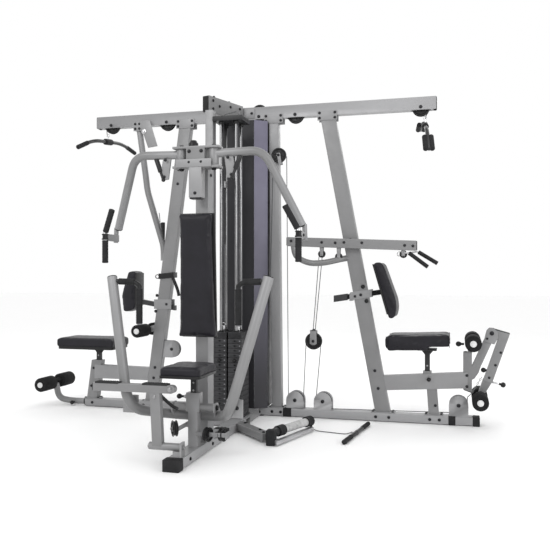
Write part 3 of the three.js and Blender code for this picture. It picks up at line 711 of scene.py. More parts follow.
def upright_fittings():
    """Sleeves, collars, straps and bolts that the two slanted uprights carry."""
    sleeves = Piece("pad_bar_sleeves", SILVER)
    bolts = Piece("upright_bolts", BOLT)
    dark = Piece("upright_black_fixings", NYLON)
    strap = Piece("hanging_strap", RUBBER)
    right = slanted(RIGHT_UPRIGHT, 830)
    for y in SLEEVE_SIDES:
        sleeves.prism([(right - 70, 790), (right + 74, 812), (right + 74, 864), (right - 70, 842)], "Y",
                      y, y + 6, 1.5)
    sleeves.prism([(right - 75, 784), (right - 52, 787), (right - 52, 838), (right - 75, 835)],
                  "Y", -25, 25, 1.5)
    for x, z in ((736, 880), (760, 786)):
        bolt_pair(dark, (x, 0, z), (0, 1, 0), 33, 11)
    through_bolt(bolts, 722, 826, 33, 8)
    through_bolt(bolts, 684, 816, 33, 7)
    left = slanted(LEFT_UPRIGHT, 750)
    for y in SLEEVE_SIDES:
        sleeves.prism([(left - 66, 716), (left + 66, 716), (left + 66, 784), (left - 66, 784)],
                      "Y", y, y + 6, 1.5)
    for x, z in ((-742, 812), (-752, 700)):
        hex_bolt(dark, (x + 14, -31, z), (0, -1, 0), 9)
    through_bolt(bolts, left + 30, 750, 33, 7.5)
    z = 950
    centre = slanted(LEFT_UPRIGHT, z)
    for y in (-36, 29):
        dark.prism([(centre - 50, z - 22), (centre + 50, z - 12), (centre + 50, z + 26),
                    (centre - 50, z + 16)], "Y",
                   y, y + 7, 2)
    dark.box((centre - 57, -36, z - 22), (centre - 48, 36, z + 18), 2)
    dark.box((centre + 48, -36, z - 12), (centre + 57, 36, z + 26), 2)
    bolts.ring((centre - 66, -34, z - 4), (0, 1, 0), 13, 3)
    strap.tube([(centre + 44, -36, z + 6), (centre + 74, -44, z - 50), (centre + 96, -48, z - 100),
                (centre + 104, -46, z - 140)], 11, 40, 12)
    through_bolt(bolts, -622, 432, 20, 9)
    for x, z in ((-700, 470), (-700, 394)):
        through_bolt(bolts, x, z, 20, 6)
    for upright, heights in ((RIGHT_UPRIGHT, (330, 215, 1190, 1140)), (LEFT_UPRIGHT, (300, 225, 1700, 1600))):
        for z in heights:
            through_bolt(bolts, slanted(upright, z), z, TUBE_HALF, 8)
    finish(sleeves, bolts, dark, strap)


def front_station_frame():
    from_cad(3, front_upright_tube="front_upright")
    from_cad(2.5, fly_hub_frame="fly_hub")
    cap = Piece("hub_caps", NYLON)
    cap.box((-32, -1160, 1357), (32, -1106, 1366), 2)
    cap.lathe((-24, -1122, 1638), (0, 0, 1), [(0, 24), (2, 26), (18, 26), (26, 20), (34, 17), (36, 10)], 28)
    cap.box((-35, -1060, 1640), (35, -970, 1645), 1.5)
    cap.done()
    Piece("hub_face_plate", SILVER).box((-107, -1166, 1526), (91, -1160.5, 1568), 1.5).done()
    bolts = Piece("hub_bolts", BOLT)
    for x, z in ((34, 1610), (34, 1552), (-34, 1610), (-34, 1552)):
        hex_bolt(bolts, (x, -1160, z), (0, -1, 0), 8)
    hex_bolt(bolts, (0, -1163, 1388), (0, -1, 0), 7)
    for sx in (-1, 1):
        for z, out in ((1638, 1), (1522, -1)):
            hex_bolt(bolts, (sx * 92, -1122, z), (0, 0, out), 13)
            hex_bolt(bolts, (sx * 120, -1100, z), (0, 0, out), 5)
    for z in (1600, 1500, 700):
        bolt_pair(bolts, (0, -1015, z), (1, 0, 0), 35)
    bolts.done()
    pivot_stops()


def pivot_stops():
    """The black damper on each fly arm, and the diagonal release rod of the press arm."""
    for side, name in ((1, "right"), (-1, "left")):
        damper = Piece("fly_damper_" + name, BLACK, "fly_arm_" + name)
        top, foot = Vector((side * 239, -1122, 1584)), Vector((side * 195, -1128, 1468))
        damper.rod(top, top.lerp(foot, 0.62), 13, 2, 28)
        damper.rod(top.lerp(foot, 0.6), foot, 8, 1, 20)
        damper.ball(foot, 11)
        damper.done()
    rod = Piece("press_release_rod", BLACK)
    rod.tube([(-112, -1384, 366), (-90, -1350, 326), (-62, -1310, 284), (-44, -1292, 270)], 9, 30, 16)
    rod.lathe((-112, -1384, 366), (-21, -34, 40), [(-14, 4), (-13, 11), (8, 12), (14, 9)], 20)
    rod.done()


base()
base_fixings()
tower()
booms()
uprights()
front_station_frame()


# ------------------------------------------------------------------ mid cable arm
MID_Y0, MID_Y1 = -79.3, -29.3
MID_Y = (MID_Y0 + MID_Y1) / 2


def mid_arm():
    arm = Piece("mid_arm_tube", SILVER)
    arm.prism([(233, 1151), (1083, 1112), (1083, 1176), (233, 1211)], "Y", MID_Y0, MID_Y1, 3, 3)
    arm.tube([(272, MID_Y, 1162), (286, MID_Y, 1080), (375, MID_Y, 1034), (480, MID_Y, 1036),
              (588, MID_Y, 1060),
              (642, -2, 1072)], 20, 60, 32)
    arm.done("mid_arm")
    caps = Piece("mid_arm_caps", NYLON)
    for x, low, high in ((229, 1154, 1208), (1082, 1115, 1173)):
        caps.prism([(x, low), (x + 5, low), (x + 5, high), (x, high)], "Y", MID_Y0 + 3, MID_Y1 - 3, 1.2)
    caps.done()
    bolts = Piece("mid_arm_bolts", BOLT)
    for x, z in ((262, 1184), (470, 1172), (560, 1168), (618, 1170), (735, 1166), (1010, 1146), (1062, 1142)):
        through_bolt(bolts, x, z, (MID_Y1 - MID_Y0) / 2, 7.5, MID_Y)
    bolts.done()
    swivel_pulleys()


def swivel_pulleys():
    """Small guide wheels in forks under the mid arm, one over the other's cable."""
    forks = Piece("swivel_forks", SILVER)
    wheels = Piece("swivel_wheels", NYLON)
    pins = Piece("swivel_pins", ZINC)
    for x, top, drop in ((466, 1142, 46), (580, 1137, 60), (1000, 1116, 26)):
        z = top - drop
        for y in (MID_Y - 13, MID_Y + 10):
            forks.prism([(x - 13, top), (x + 13, top), (x + 10, z - 12), (x - 10, z - 12)], "Y", y, y + 3, 1)
        wheel_profile = [(-8, 10), (-7.5, 24), (-4, 25), (-1.5, 18), (1.5, 18), (4, 25), (7.5, 24), (8, 10)]
        wheels.lathe((x, MID_Y, z), (0, 1, 0), wheel_profile, 28)
        through_bolt(pins, x, z, 14, 5, MID_Y)
    finish(forks, wheels, pins)


def curl_handle():
    grips = Piece("curl_handle_grips", RUBBER)
    for a, b in (((1036, MID_Y - 14, 1098), (1155, MID_Y - 14, 1007)),
                 ((1094, MID_Y + 14, 1104), (1214, MID_Y + 14, 1030))):
        ribbed_grip(grips, a, b, 13.5, 8)
    grips.done("curl_handle")
    wire = Piece("curl_handle_stirrup", CHROME)
    wire.tube([(985, MID_Y, 1092), (1036, MID_Y - 6, 1099), (1096, MID_Y + 10, 1106)], 5, 30, 16)
    wire.tube([(985, MID_Y, 1092), (1012, MID_Y - 10, 1100), (1040, MID_Y - 14, 1096)], 4, 20, 12)
    wire.ring((974, MID_Y, 1092), (0, 1, 0), 13, 3.2)
    wire.ring((1000, MID_Y, 1104), (1, 0.2, 0), 8, 2.4)
    wire.done()


# ------------------------------------------------------------------ seat frames and low row
def station_frames():
    from_cad(3, seat_frame_right_tubes="seat_frame_right", seat_frame_left_tubes="seat_frame_left")
    bolts = Piece("seat_frame_bolts", BOLT)
    caps = Piece("seat_frame_caps", NYLON)
    for x, z in ((1200, 120), (1395, 250), (1395, 320)):
        through_bolt(bolts, x, z, TUBE_HALF if x != 1200 else 25, 7.5)
    for x, z in ((-1248, 150), (-1230, 280)):
        through_bolt(bolts, x, z, 27, 7.5)
    caps.box((1376, -22, 464), (1396, 22, 470), 1.5)
    caps.prism([(1374, 226), (1424, 208), (1424, 215), (1374, 233)], "Y", -22, 22, 1.2)
    caps.done()
    knee = Piece("knee_cheeks", SILVER)
    for y in (-33, 28):
        knee.prism([(1500, 540), (1560, 520), (1584, 560), (1580, 600), (1562, 620), (1532, 622),
                    (1516, 604)], "Y",
                   y, y + 5, 1.5)
    knee.done()
    through_bolt(bolts, 1546, 590, 33, 11)
    hex_bolt(bolts, (1518, -33, 556), (0, -1, 0), 6)
    bolts.done()
    Piece("roller_holder_pin", NYLON).lathe((1378, 0, 516), (-1, 0, 0), knob_profile(17, 50), 24).done()


def low_row():
    beam = Piece("low_row_beam", SILVER)
    beam.prism([(40.3, -489), (40.3, -573), (268, -805), (308, -762)], "Z", 12, 56, 3, 3)
    beam.done("low_row_frame")
    plate = Piece("low_row_tread_plate", bright_tread())
    plate.prism([(304, -792), (348, -848), (372, -872), (494, -446), (467, -436), (362, -800)],
                "Z", 10, 32, 2)
    plate.done()
    foot = Piece("low_row_foot", RUBBER)
    foot.box((302, -860, 2), (354, -806, 88), 8, 4)
    foot.box((460, -418, 2), (476, -408, 86), 2)
    foot.box((460, -446, 2), (476, -408, 11), 2)
    foot.done()
    start, end = Vector((346, -770, 66)), Vector((470, -430, 66))
    along = (end - start).normalized()
    bar = Piece("low_row_bar_tube", SLEEVE, "low_row_bar")
    bar.rod(start + along * 20, end - along * 20, 24, 1, 32)
    bar.done("low_row_bar")
    axle = Piece("low_row_axle", ZINC)
    axle.rod(start - along * 42, start - along * 1, 9, 0.5)
    axle.rod(end + along * 1, end + along * 13, 9, 0.5)
    axle.done()
    Piece("low_row_sleeve", BLACK).rod(start - along * 36, start - along * 1.5, 23, 2, 32).done()
    grips = Piece("low_row_bar_grips", RUBBER, "low_row_bar")
    ribbed_grip(grips, start, start + along * 62, 31, 9, 1.4)
    ribbed_grip(grips, end, end - along * 62, 31, 9, 1.4)
    grips.done()
    bolts = Piece("low_row_bolts", BOLT)
    for x, y in ((90, -560), (230, -715), (268, -775)):
        hex_bolt(bolts, (x, y, 56), (0, 0, 1), 8)
    bolts.done()


def bright_tread():
    """Zinc-plated plate with a light brushed grain."""
    paint = Paint("tread_plate_zinc", (0.5, 0.5, 0.51), 0.38, 0.8, vary=0.06, scale=12.0)
    paint.bump(paint.noise(500, 3.0), 0.15, 0.0005)
    return paint.material


# ------------------------------------------------------------------ weight stacks and their cover
PLATES = 16


def tower_contents():
    panel = Piece("cover_panel", COVER)
    panel.prism([(-212, -110), (13, -110), (13, -106), (-212, -106)], "Z", 57, 2000, 0.8)
    panel.done("shroud")
    # Corner trim: its lilac colour is a painted reflection, darkened low down by painted shade.
    trim = Piece("painted_reflection_trim", TRIM_PAINTED_REFLECTION)
    trim.prism([(14, -110), (92, -52), (92, -47), (13, -106)], "Z", 57, 2000, 0.8)
    trim.done()
    side = Piece("cover_return", COVER)
    side.prism([(88.5, -47), (92, -47), (92, 82), (88.5, 82)], "Z", 66, 2000, 0.6)
    side.done()
    rods = Piece("guide_rod_bars", ROD_STEEL)
    for x, y in STACKS.values():
        for side in (-1, 1):
            rods.rod((x, y + side * ROD_Y, 60), (x, y + side * ROD_Y, 1952), 9, 1, 24)
    rods.done("guide_rods")
    ends = Piece("stack_sill_and_crown", BLACK)
    ends.box((-163, -445, RAIL_TOP + 0.5), (34, -276, STACK_BOTTOM - 1), 3)
    ends.box((-163, -445, 1930), (34, -276, 1960), 3)
    ends.done()
    collars = Piece("rod_collars", NYLON)
    for x, y in STACKS.values():
        for side in (-1, 1):
            spot = (x, y + side * ROD_Y)
            collars.lathe((*spot, 1912), (0, 0, 1), [(0, 12), (2, 16), (16, 16), (18, 14)], 24)
    collars.done()
    for name, place in STACKS.items():
        weight_stack(name, place)
        top_plate(name, place)


def weight_stack(name, place):
    x, y = place
    hx, hy = STACK_HALF
    pitch = (STACK_TOP - STACK_BOTTOM) / PLATES
    plates = Piece("weight_plates_" + name, IRON)
    marks = Piece("plate_marks_" + name, GREY_NYLON)
    holes = Piece("plate_sockets_" + name, BOLT)
    for i in range(PLATES):
        z = STACK_BOTTOM + i * pitch
        plates.box((x - hx, y - hy, z + 0.7), (x + hx, y + hy, z + pitch - 0.7), 3, 2)
        plates.box((x - hx * 0.55, y - hy - 1.2, z + 6), (x + hx * 0.55, y - hy + 3, z + pitch - 6), 1)
        holes.lathe((x, y - hy - 1.2, z + pitch / 2), (0, -1, 0),
                    [(0, 6.5), (0.8, 6.5), (0.8, 4.6), (-3, 4.4)], 16)
        marks.box((x + hx * 0.55 + 3, y - hy - 0.6, z + 12), (x + hx * 0.55 + 11, y - hy + 1, z + pitch - 12),
                  0.3)
    plates.done("weight_stack_" + name)
    finish(marks, holes)
    pin = Piece("selector_pin_" + name, NYLON)
    z = STACK_BOTTOM + (PLATES - 4.5) * pitch
    pin.lathe((x, y - hy - 3, z), (0, -1, 0), [(0, 5), (2, 12), (10, 13), (22, 12), (28, 9), (30, 4)], 24)
    pin.done()


def top_plate(name, place):
    x, y = place
    hx, hy = STACK_HALF
    body = "top_plate_" + name
    plate = Piece("lifting_plate_" + name, IRON, body)
    plate.box((x - hx, y - hy, STACK_TOP + 0.5), (x + hx, y + hy, STACK_TOP + TOP_PLATE), 4, 3)
    plate.done(body)
    steel = Piece("lifting_stem_" + name, CHROME, body)
    steel.rod((x, y, STACK_TOP + TOP_PLATE - 2), (x, y, STACK_TOP + TOP_PLATE + 34), 9, 1)
    steel.ring((x, y, STACK_TOP + TOP_PLATE + 44), (0, 1, 0), 11, 3)
    steel.rod((x, y, STACK_BOTTOM + 30), (x, y, STACK_TOP + 5), 9.5, 1)
    steel.done()
    bushes = Piece("lifting_bushes_" + name, NYLON, body)
    top = STACK_TOP + TOP_PLATE
    for side in (-1, 1):
        bushes.lathe((x, y + side * ROD_Y, top - 3), (0, 0, 1),
                     [(0, 10.5), (0, 15), (10, 15), (12, 13), (12, 10.5)], 24)
    bushes.done()


mid_arm()
curl_handle()
station_frames()
low_row()
tower_contents()


# ------------------------------------------------------------------ press station
def press_arm():
    tubes = Piece("press_arm_tube", SILVER, "press_arm")
    half = [(430, -1259, 943), (268, -1400, 282), (130, -1114, 206)]
    left = [(-x, y, z) for x, y, z in half]
    tubes.tube(left + half[::-1], 26.5, 110, 36, 12)
    for side in (-1, 1):
        x = side * 117
        tubes.prism([(-1200, 285), (-1198, 238), (-1140, 184), (-1100, 184), (-1100, 228), (-1142, 285)], "X",
                    x - 5, x + 5, 1.5)
        x = side * 280
        tubes.box((x - 42, -1347, 250), (x + 42, -1337, 342), 2)
    tubes.done("press_arm")
    caps = Piece("press_arm_caps", NYLON, "press_arm")
    bolts = Piece("press_arm_bolts", BOLT, "press_arm")
    direction = Vector((162, 141, 661)).normalized()
    for side in (-1, 1):
        along = Vector((side * direction.x, direction.y, direction.z))
        caps.lathe(Vector((side * 430, -1259, 943)) - along * 2, along,
                   [(0, 26.4), (4, 26.4), (7, 24), (8, 18)], 32)
        hex_bolt(bolts, (side * 123, PRESS_Y, PRESS_Z), (side, 0, 0), 13)
        hex_bolt(bolts, (side * 292, -1347, 300), (0, -1, 0), 8)
    finish(caps, bolts)
    for side, name in ((1, "right"), (-1, "left")):
        press_grip(side, name)


def press_grip(side, name):
    inner, y = side * 272, -1261
    stem = Piece("press_grip_stem_" + name, BLACK, "press_arm")
    stem.tube([(side * 408, y, 922), (side * 300, y, 919), (inner, y, 900), (inner, y, 880)], 13, 26, 24)
    stem.done("press_grip_" + name)
    grip = Piece("press_grip_rubber_" + name, RUBBER, "press_arm")
    ribbed_grip(grip, (inner, y, 884), (inner, y, 700), 17.5)
    ribbed_grip(grip, (side * 390, y, 921.5), (side * 296, y, 919), 17, 9)
    grip.done()
    ends = Piece("press_grip_end_" + name, GREY_NYLON, "press_arm")
    ends.lathe((inner, y, 702), (0, 0, -1), [(0, 12), (1, 16), (5, 15), (7, 10)], 24)
    ends.done()


def foot_lever():
    y, z, bar_y, bar_z, post_x = (FOOT[k] for k in ("y", "z", "bar_y", "bar_z", "post_x"))
    arm = Piece("foot_lever_tubes", SILVER, "foot_lever")
    arm.rod((-150, y, z), (19, y, z), 19, 2, 32)
    arm.prism([(y - 19, z), (y + 19, z), (bar_y + 19, bar_z), (bar_y - 19, bar_z)], "X",
              post_x - 26, post_x + 26, 3, 3)
    outline = [(-437, bar_z - 20), (-15, bar_z - 20)]
    outline += [(-15 + 20 * math.cos(a), bar_z + 20 * math.sin(a)) for a in
                (math.radians(d) for d in range(-75, 76, 15))]
    outline += [(-15, bar_z + 20), (-437, bar_z + 20)]
    arm.prism(outline, "Y", bar_y - 19, bar_y + 19, 3, 3)
    arm.done("foot_lever")
    pads = Piece("foot_bar_treads", TREAD, "foot_lever")
    for x0, x1 in ((-425, -296), (-168, -32)):
        pads.box((x0, bar_y - 20, bar_z + 17), (x1, bar_y + 20, bar_z + 27), 3, 3)
        for k in range(int((x1 - x0 - 12) / 12)):
            x = x0 + 9 + 12 * k
            pads.box((x, bar_y - 17, bar_z + 25.5), (x + 6, bar_y + 17, bar_z + 28.5), 1, 1)
    pads.done()
    bolts = Piece("foot_lever_bolts", ZINC, "foot_lever")
    hex_bolt(bolts, (-20, bar_y - 19, bar_z), (0, -1, 0), 9)
    hex_bolt(bolts, (post_x, bar_y - 19 + 4, bar_z - 40), (0, -1, 0), 7)
    hex_bolt(bolts, (-150, y, z), (-1, 0, 0), 10)
    hex_bolt(bolts, (30, y, z), (1, 0, 0), 10)
    bolts.done()
    cap = Piece("foot_bar_cap", NYLON, "foot_lever")
    cap.box((-441, bar_y - 17, bar_z - 18), (-436, bar_y + 17, bar_z + 18), 1.5)
    cap.done()


def fly_arm(side, name):
    (px, py), (ex, ey) = FLY["pivot"], FLY["end"]
    body = "fly_arm_" + name
    arm = Piece("fly_arm_tube_" + name, SILVER, body)
    corner = Vector((side * FLY["corner"], py, FLY["arm_z"]))
    tip = Vector((side * (ex - 12), ey, FLY["end_z"] - 6))
    arm.tube([(side * px, py, FLY["arm_z"] - 6), corner, tip], 22.5, 75, 32, 10)
    arm.rod((side * px, py, 1534.5), (side * px, py, 1625.5), 28, 1.5, 32)
    cam = [(150, 1590), (196, 1590), (212, 1500), (196, 1466), (166, 1470)]
    arm.prism([(side * x, z) for x, z in cam], "Y", py - 6, py + 6, 2)
    x0, x1 = sorted((side * (ex - 9), side * (ex + 9)))
    arm.box((x0, ey - 118, 1146), (x1, ey + 12, 1184), 2)
    arm.rod((side * (ex + 6), ey, FLY["tip_z"]), (side * (ex + 2), ey, FLY["end_z"] - 2), 13, 1.5)
    arm.done(body)
    bolts = Piece("fly_arm_bolts_" + name, BOLT, body)
    for x, z in ((176, 1572), (190, 1484)):
        hex_bolt(bolts, (side * x, py - 6 if z < 1500 else py - 22, z), (0, -1, 0), 7)
    hex_bolt(bolts, (side * (ex + 9), ey - 60, 1165), (side, 0, 0), 7)
    bolts.done()
    cap = Piece("fly_arm_cap_" + name, NYLON, body)
    cap.lathe(tip, tip - corner, [(-1, 22.4), (3, 22.4), (6, 20), (7, 12)], 28)
    cap.done()
    fly_grip(side, name, body)


def fly_grip(side, name, body):
    x, y = side * FLY["end"][0], FLY["end"][1] - 118 - 18.3
    stem = Piece("fly_grip_stem_" + name, CHROME, body)
    stem.rod((x, y, 1140), (x, y, 1192), 13, 1, 28)
    stem.rod((x, y, 1188), (side * 545, y - 6, 1204), 12, 1, 24)
    stem.done("fly_grip_" + name)
    grip = Piece("fly_grip_rubber_" + name, RUBBER, body)
    ribbed_grip(grip, (x, y, 1148), (x, y, 1022), 17)
    ribbed_grip(grip, (side * 545, y - 3, 1194), (side * 486, y - 40, 1312), 16.5)
    grip.done()
    end = Piece("fly_grip_collar_" + name, NYLON, body)
    end.lathe((x, y, 1150), (0, 0, 1),
              [(0, 14), (1, 19), (8, 19), (9, 15), (26, 15), (27, 18), (33, 18), (34, 14)], 28)
    end.done()


press_arm()
foot_lever()
fly_arm(1, "right")
fly_arm(-1, "left")


# ------------------------------------------------------------------ leg developer and rollers
def leg_lever():
    Piece("leg_lever_tubes", SILVER, "leg_lever").node("leg_lever", 2.5).done("leg_lever")
    cap = Piece("leg_lever_cap", NYLON, "leg_lever")
    cap.prism([(1560, 619), (1655, 592), (1654, 586), (1558, 613)], "Y", -24, 24, 1.5)
    cap.done()
    pins = Piece("leg_lever_pins", NYLON, "leg_lever")
    pins.lathe((1524, -4, 352), (-1, 0, 0.1), knob_profile(16, 40), 24)
    pins.lathe((1590, 0, 270), Vector((1, 0, -0.22)).normalized(), knob_profile(17, 36), 24)
    pins.done()
    Piece("leg_lever_stem", CHROME, "leg_lever").rod((1540, 0, 281), (1592, 0, 269.5), 6, 1).done()
    bolts = Piece("leg_lever_bolts", BOLT, "leg_lever")
    for bx, bz in ((1600, 470), (1568, 390), (1530, 310), (1480, 215)):
        through_bolt(bolts, bx, bz, 25 if bz > 290 else 22, 6.5)
    bolts.done()


def roller_pair(node, x, z, radius=50):
    """Two foam rollers on one axle, whose body has the name of the CAD node."""
    inner, outer = 45, 200
    sponge = Piece(node + "_foam", FOAM, node)
    for side in (-1, 1):
        sponge.lathe((x, side * inner, z), (0, side, 0),
                     [(2, 15), (0.5, radius - 12), (1, radius - 7), (4, radius - 2), (9, radius),
                      (60, radius + 0.4), (outer - inner - 9, radius), (outer - inner - 4, radius - 2),
                      (outer - inner - 1, radius - 7), (outer - inner - 0.5, radius - 13),
                      (outer - inner - 3, 22), (outer - inner - 12, 15)], 48)
    sponge.done(node)
    Piece(node + "_axle", CHROME, node).rod((x, -outer - 3, z), (x, outer + 3, z), 12.5, 1.5, 32).done()
    plugs = Piece(node + "_plugs", WHITE_NYLON, node)
    for side in (-1, 1):
        plugs.lathe((x, side * (outer - 6), z), (0, side, 0), [(0, 12), (2, 19), (8, 20), (11, 17), (13, 8)],
                    32)
    plugs.done()
    washers = Piece(node + "_washers", NYLON, node)
    for side in (-1, 1):
        washers.lathe((x, side * (inner - 8), z), (0, side, 0), [(0, 13), (0.5, 22), (6, 24), (7, 20)], 28)
    washers.done()


def rollers():
    roller_pair("leg_rollers_upper", 1432, 535)
    roller_pair("leg_rollers_lower", 1474, 176)
    roller_pair("thigh_rollers", -806, 567, 44)
    roller_pair("foot_rollers", -1560, 166)
    bar = Piece("foot_roller_tube", SILVER)
    bar.tube([(-1296, 0, 31), (-1430, 0, 29), (-1530, 0, 44), (-1556, 0, 152)], 22, 60, 32)
    bar.done("foot_roller_bar")
    pin = Piece("foot_roller_pin", NYLON)
    pin.lathe((-1392, -20, 26), Vector((-0.2, -1, -0.1)).normalized(), knob_profile(15, 34), 24)
    pin.lathe((-1300, 0, 31), (-1, 0, 0), [(0, 24), (2, 27), (12, 27), (14, 24)], 32)
    pin.done()


leg_lever()
rollers()


# ------------------------------------------------------------------ cushions
VOXEL = 0.0055
STOP_PROFILE = [(0, 5.5), (0.5, 5.5), (0.6, 3.5), (-2, 3.4)]


def slab(outline, corner, axis, low, high, piece=None, bevel=0):
    """A board: the outline's corners rounded off and the shape carried along axis."""
    rounded, steps = [], 5
    count = len(outline)
    for i in range(count):
        before, here, after = (Vector(outline[(i + k) % count]) for k in (-1, 0, 1))
        back, on = before - here, after - here
        reach = min(corner, back.length * 0.45, on.length * 0.45)
        start, end = here + back.normalized() * reach, here + on.normalized() * reach
        for k in range(steps + 1):
            t = k / steps
            spot = start * (1 - t) ** 2 + here * (2 * t * (1 - t)) + end * t ** 2
            rounded.append((spot.x, spot.y))
    return (piece or Piece("slab", VINYL)).prism(rounded, axis, low, high, bevel)


def inflate(made, cap, flat):
    """Air pressure in a cloth skin; points move by cap metres at most, and never towards the flat side."""
    rest = [v.co.copy() for v in made.data.vertices]
    cloth = made.modifiers.new("air", "CLOTH")
    settings = cloth.settings
    settings.use_pressure = True
    settings.uniform_pressure_force = 4.0
    settings.effector_weights.gravity = 0
    settings.tension_stiffness = settings.compression_stiffness = 12
    settings.bending_stiffness = 2
    cloth.point_cache.frame_start, cloth.point_cache.frame_end = 1, 20
    scene = bpy.context.scene
    for step in range(1, 21):
        scene.frame_set(step)
    apply_modifier(made)
    scene.frame_set(1)
    for vertex, start in zip(made.data.vertices, rest):
        move = vertex.co - start
        move -= flat * max(0.0, move.dot(flat))
        if move.length > 1e-6:
            vertex.co = start + move.normalized() * cap * math.tanh(move.length / cap)


def stuffed(name, body, slab_piece, flat, cap, fill, *replaced, rolls=8):
    """A foam cushion: an evenly remeshed slab, corners rolled over, then blown up as cloth."""
    slab_piece.name, slab_piece.body = name, body
    made = slab_piece.done(*replaced, smooth=180)
    remesh = made.modifiers.new("even", "REMESH")
    remesh.mode = "VOXEL"
    remesh.voxel_size = VOXEL
    apply_modifier(made)
    bm = bmesh.new()
    bm.from_mesh(made.data)
    for _ in range(rolls):
        bmesh.ops.smooth_vert(bm, verts=bm.verts, factor=0.5, use_axis_x=True, use_axis_y=True,
                              use_axis_z=True)
    bm.to_mesh(made.data)
    bm.free()
    inflate(made, cap, Vector(flat))
    made.modifiers.new("smooth", "SUBSURF").levels = 1
    apply_modifier(made)
    made.data.shade_smooth()
    return made


def apply_modifier(made):
    """Bakes the object's modifiers into its mesh."""
    graph = bpy.context.evaluated_depsgraph_get()
    mesh = bpy.data.meshes.new_from_object(made.evaluated_get(graph))
    made.modifiers.clear()
    old, made.data = made.data, mesh
    bpy.data.meshes.remove(old)


def rectangle(x0, x1, y0, y1):
    return [(x0, y0), (x1, y0), (x1, y1), (x0, y1)]


def turned(piece, angle, axis, centre):
    """Turns what is gathered so far about an axis through centre."""
    centre = Vector(centre)
    turn = Matrix.Translation(centre) @ Matrix.Rotation(angle, 4, axis) @ Matrix.Translation(-centre)
    bmesh.ops.transform(piece.bm, matrix=turn, verts=piece.bm.verts)
    return piece


def front_pads():
    seat = slab(rectangle(-111, 111, -1394, -1114), 30, "Z", 445, 489)
    stuffed("seat_front_cushion", "seat_front", seat, (0, 0, -1), 0.007, 0.75, "seat_front")
    board = Piece("seat_front_board", NYLON, "seat_front")
    slab(rectangle(-110, 110, -1393, -1115), 30, "Z", 438, 452, board, 1.5)
    board.done()
    post = Piece("seat_front_stem", BLACK, "seat_front")
    post.box((-16, -1185, 120), (16, -1155, 429), 2)
    post.box((-60, -1230, 428), (60, -1110, 437), 2)
    post.done("seat_post_front")
    holes = Piece("seat_front_stops", ZINC, "seat_front")
    for z in (150, 190, 230, 350, 390):
        holes.lathe((0, -1185.2, z), (0, -1, 0), STOP_PROFILE, 16)
    holes.done()
    pad = slab([(-1112, 622), (-1112, 1286), (-1156, 1286), (-1156, 622)], 12, "X", -99, 99)
    turned(pad, 0.05, "X", (0, -1113, 953))
    for vertex in pad.bm.verts:
        vertex.co.x *= 1.06 - 0.14 * (vertex.co.z - 622) / 664
    stuffed("back_pad_front_cushion", "frame", pad, (0, 1, 0), 0.009, 0.7, "back_pad_front", rolls=10)
    back = Piece("back_pad_front_board", NYLON)
    slab([(-1096, 622), (-1096, 1284), (-1112, 1284), (-1112, 622)], 3, "X", -97, 97, back, 1.5)
    turned(back, 0.05, "X", (0, -1113, 953))
    back.done()
    arms = Piece("back_pad_brackets", BLACK)
    for z in (760, 1150):
        arms.box((-38, -1104 - (z - 953) * 0.05, z - 22), (38, -1058, z + 22), 2)
    arms.done()


def right_seat():
    seat = slab([(886, 500), (1294, 500), (1294, 572), (900, 572), (886, 560)], 8, "Y", -132, 132)
    lower = slab([(905, 478), (1148, 478), (1160, 490), (1160, 520), (896, 520), (896, 490)],
                 8, "Y", -124, 124)
    seat.absorb(lower.bm)
    turned(seat, -0.035, "Y", (1090, 0, 530))
    stuffed("seat_right_cushion", "seat_right", seat, (0, 0, -1), 0.008, 0.8, "seat_right", rolls=6)
    folds = Piece("seat_right_welts", VINYL, "seat_right")
    for x in (899, 909, 1288):
        line = [(x, -134, 498), (x, -139, 503), (x, -139.5, 535), (x, -139, 562), (x, -132, 571)]
        folds.tube(line, 1.9, 8, 8, 3)
        folds.tube([(a, -b, c) for a, b, c in line], 1.9, 8, 8, 3)
    turned(folds, -0.035, "Y", (1090, 0, 530))
    folds.done()
    seat_stem("seat_right", 1149, 222, 482)


def left_seat():
    seat = slab([(-1474, 440), (-1020, 440), (-1020, 492), (-1040, 498), (-1474, 498)], 8, "Y", -132, 132)
    stuffed("seat_left_cushion", "seat_left", seat, (0, 0, -1), 0.007, 0.7, "seat_left", rolls=9)
    board = Piece("seat_left_board", NYLON, "seat_left")
    slab(rectangle(-1466, -1028, -128, 128), 30, "Z", 423, 444, board, 2)
    board.done()
    seat_stem("seat_left", -1198, 222, 424)


def seat_stem(body, x, low, high):
    stem = Piece(body + "_stem", BLACK, body)
    stem.box((x - 16, -15, low), (x + 16, 15, high - 8), 2)
    stem.box((x - 60, -60, high - 10), (x + 60, 60, high), 2)
    stem.prism([(x - 40, high - 10), (x + 40, high - 10), (x + 16, high - 40), (x - 16, high - 40)],
               "Y", -3, 3, 1)
    stem.done()
    stops = Piece(body + "_stops", ZINC, body)
    for k in range(4):
        z = low + 30 + 40 * k
        stops.lathe((x, -15.2, z), (0, -1, 0), STOP_PROFILE, 16)
    stops.done()


RIGHT_PAD = [(4, -4), (55, 1), (99, -121), (141, -240), (150, -300), (141, -362), (107, -375), (54, -192)]
LEFT_PAD = [(4, -5), (60, -6), (101, -127), (113, -182), (100, -291), (80, -296), (19, -280), (5, -250)]


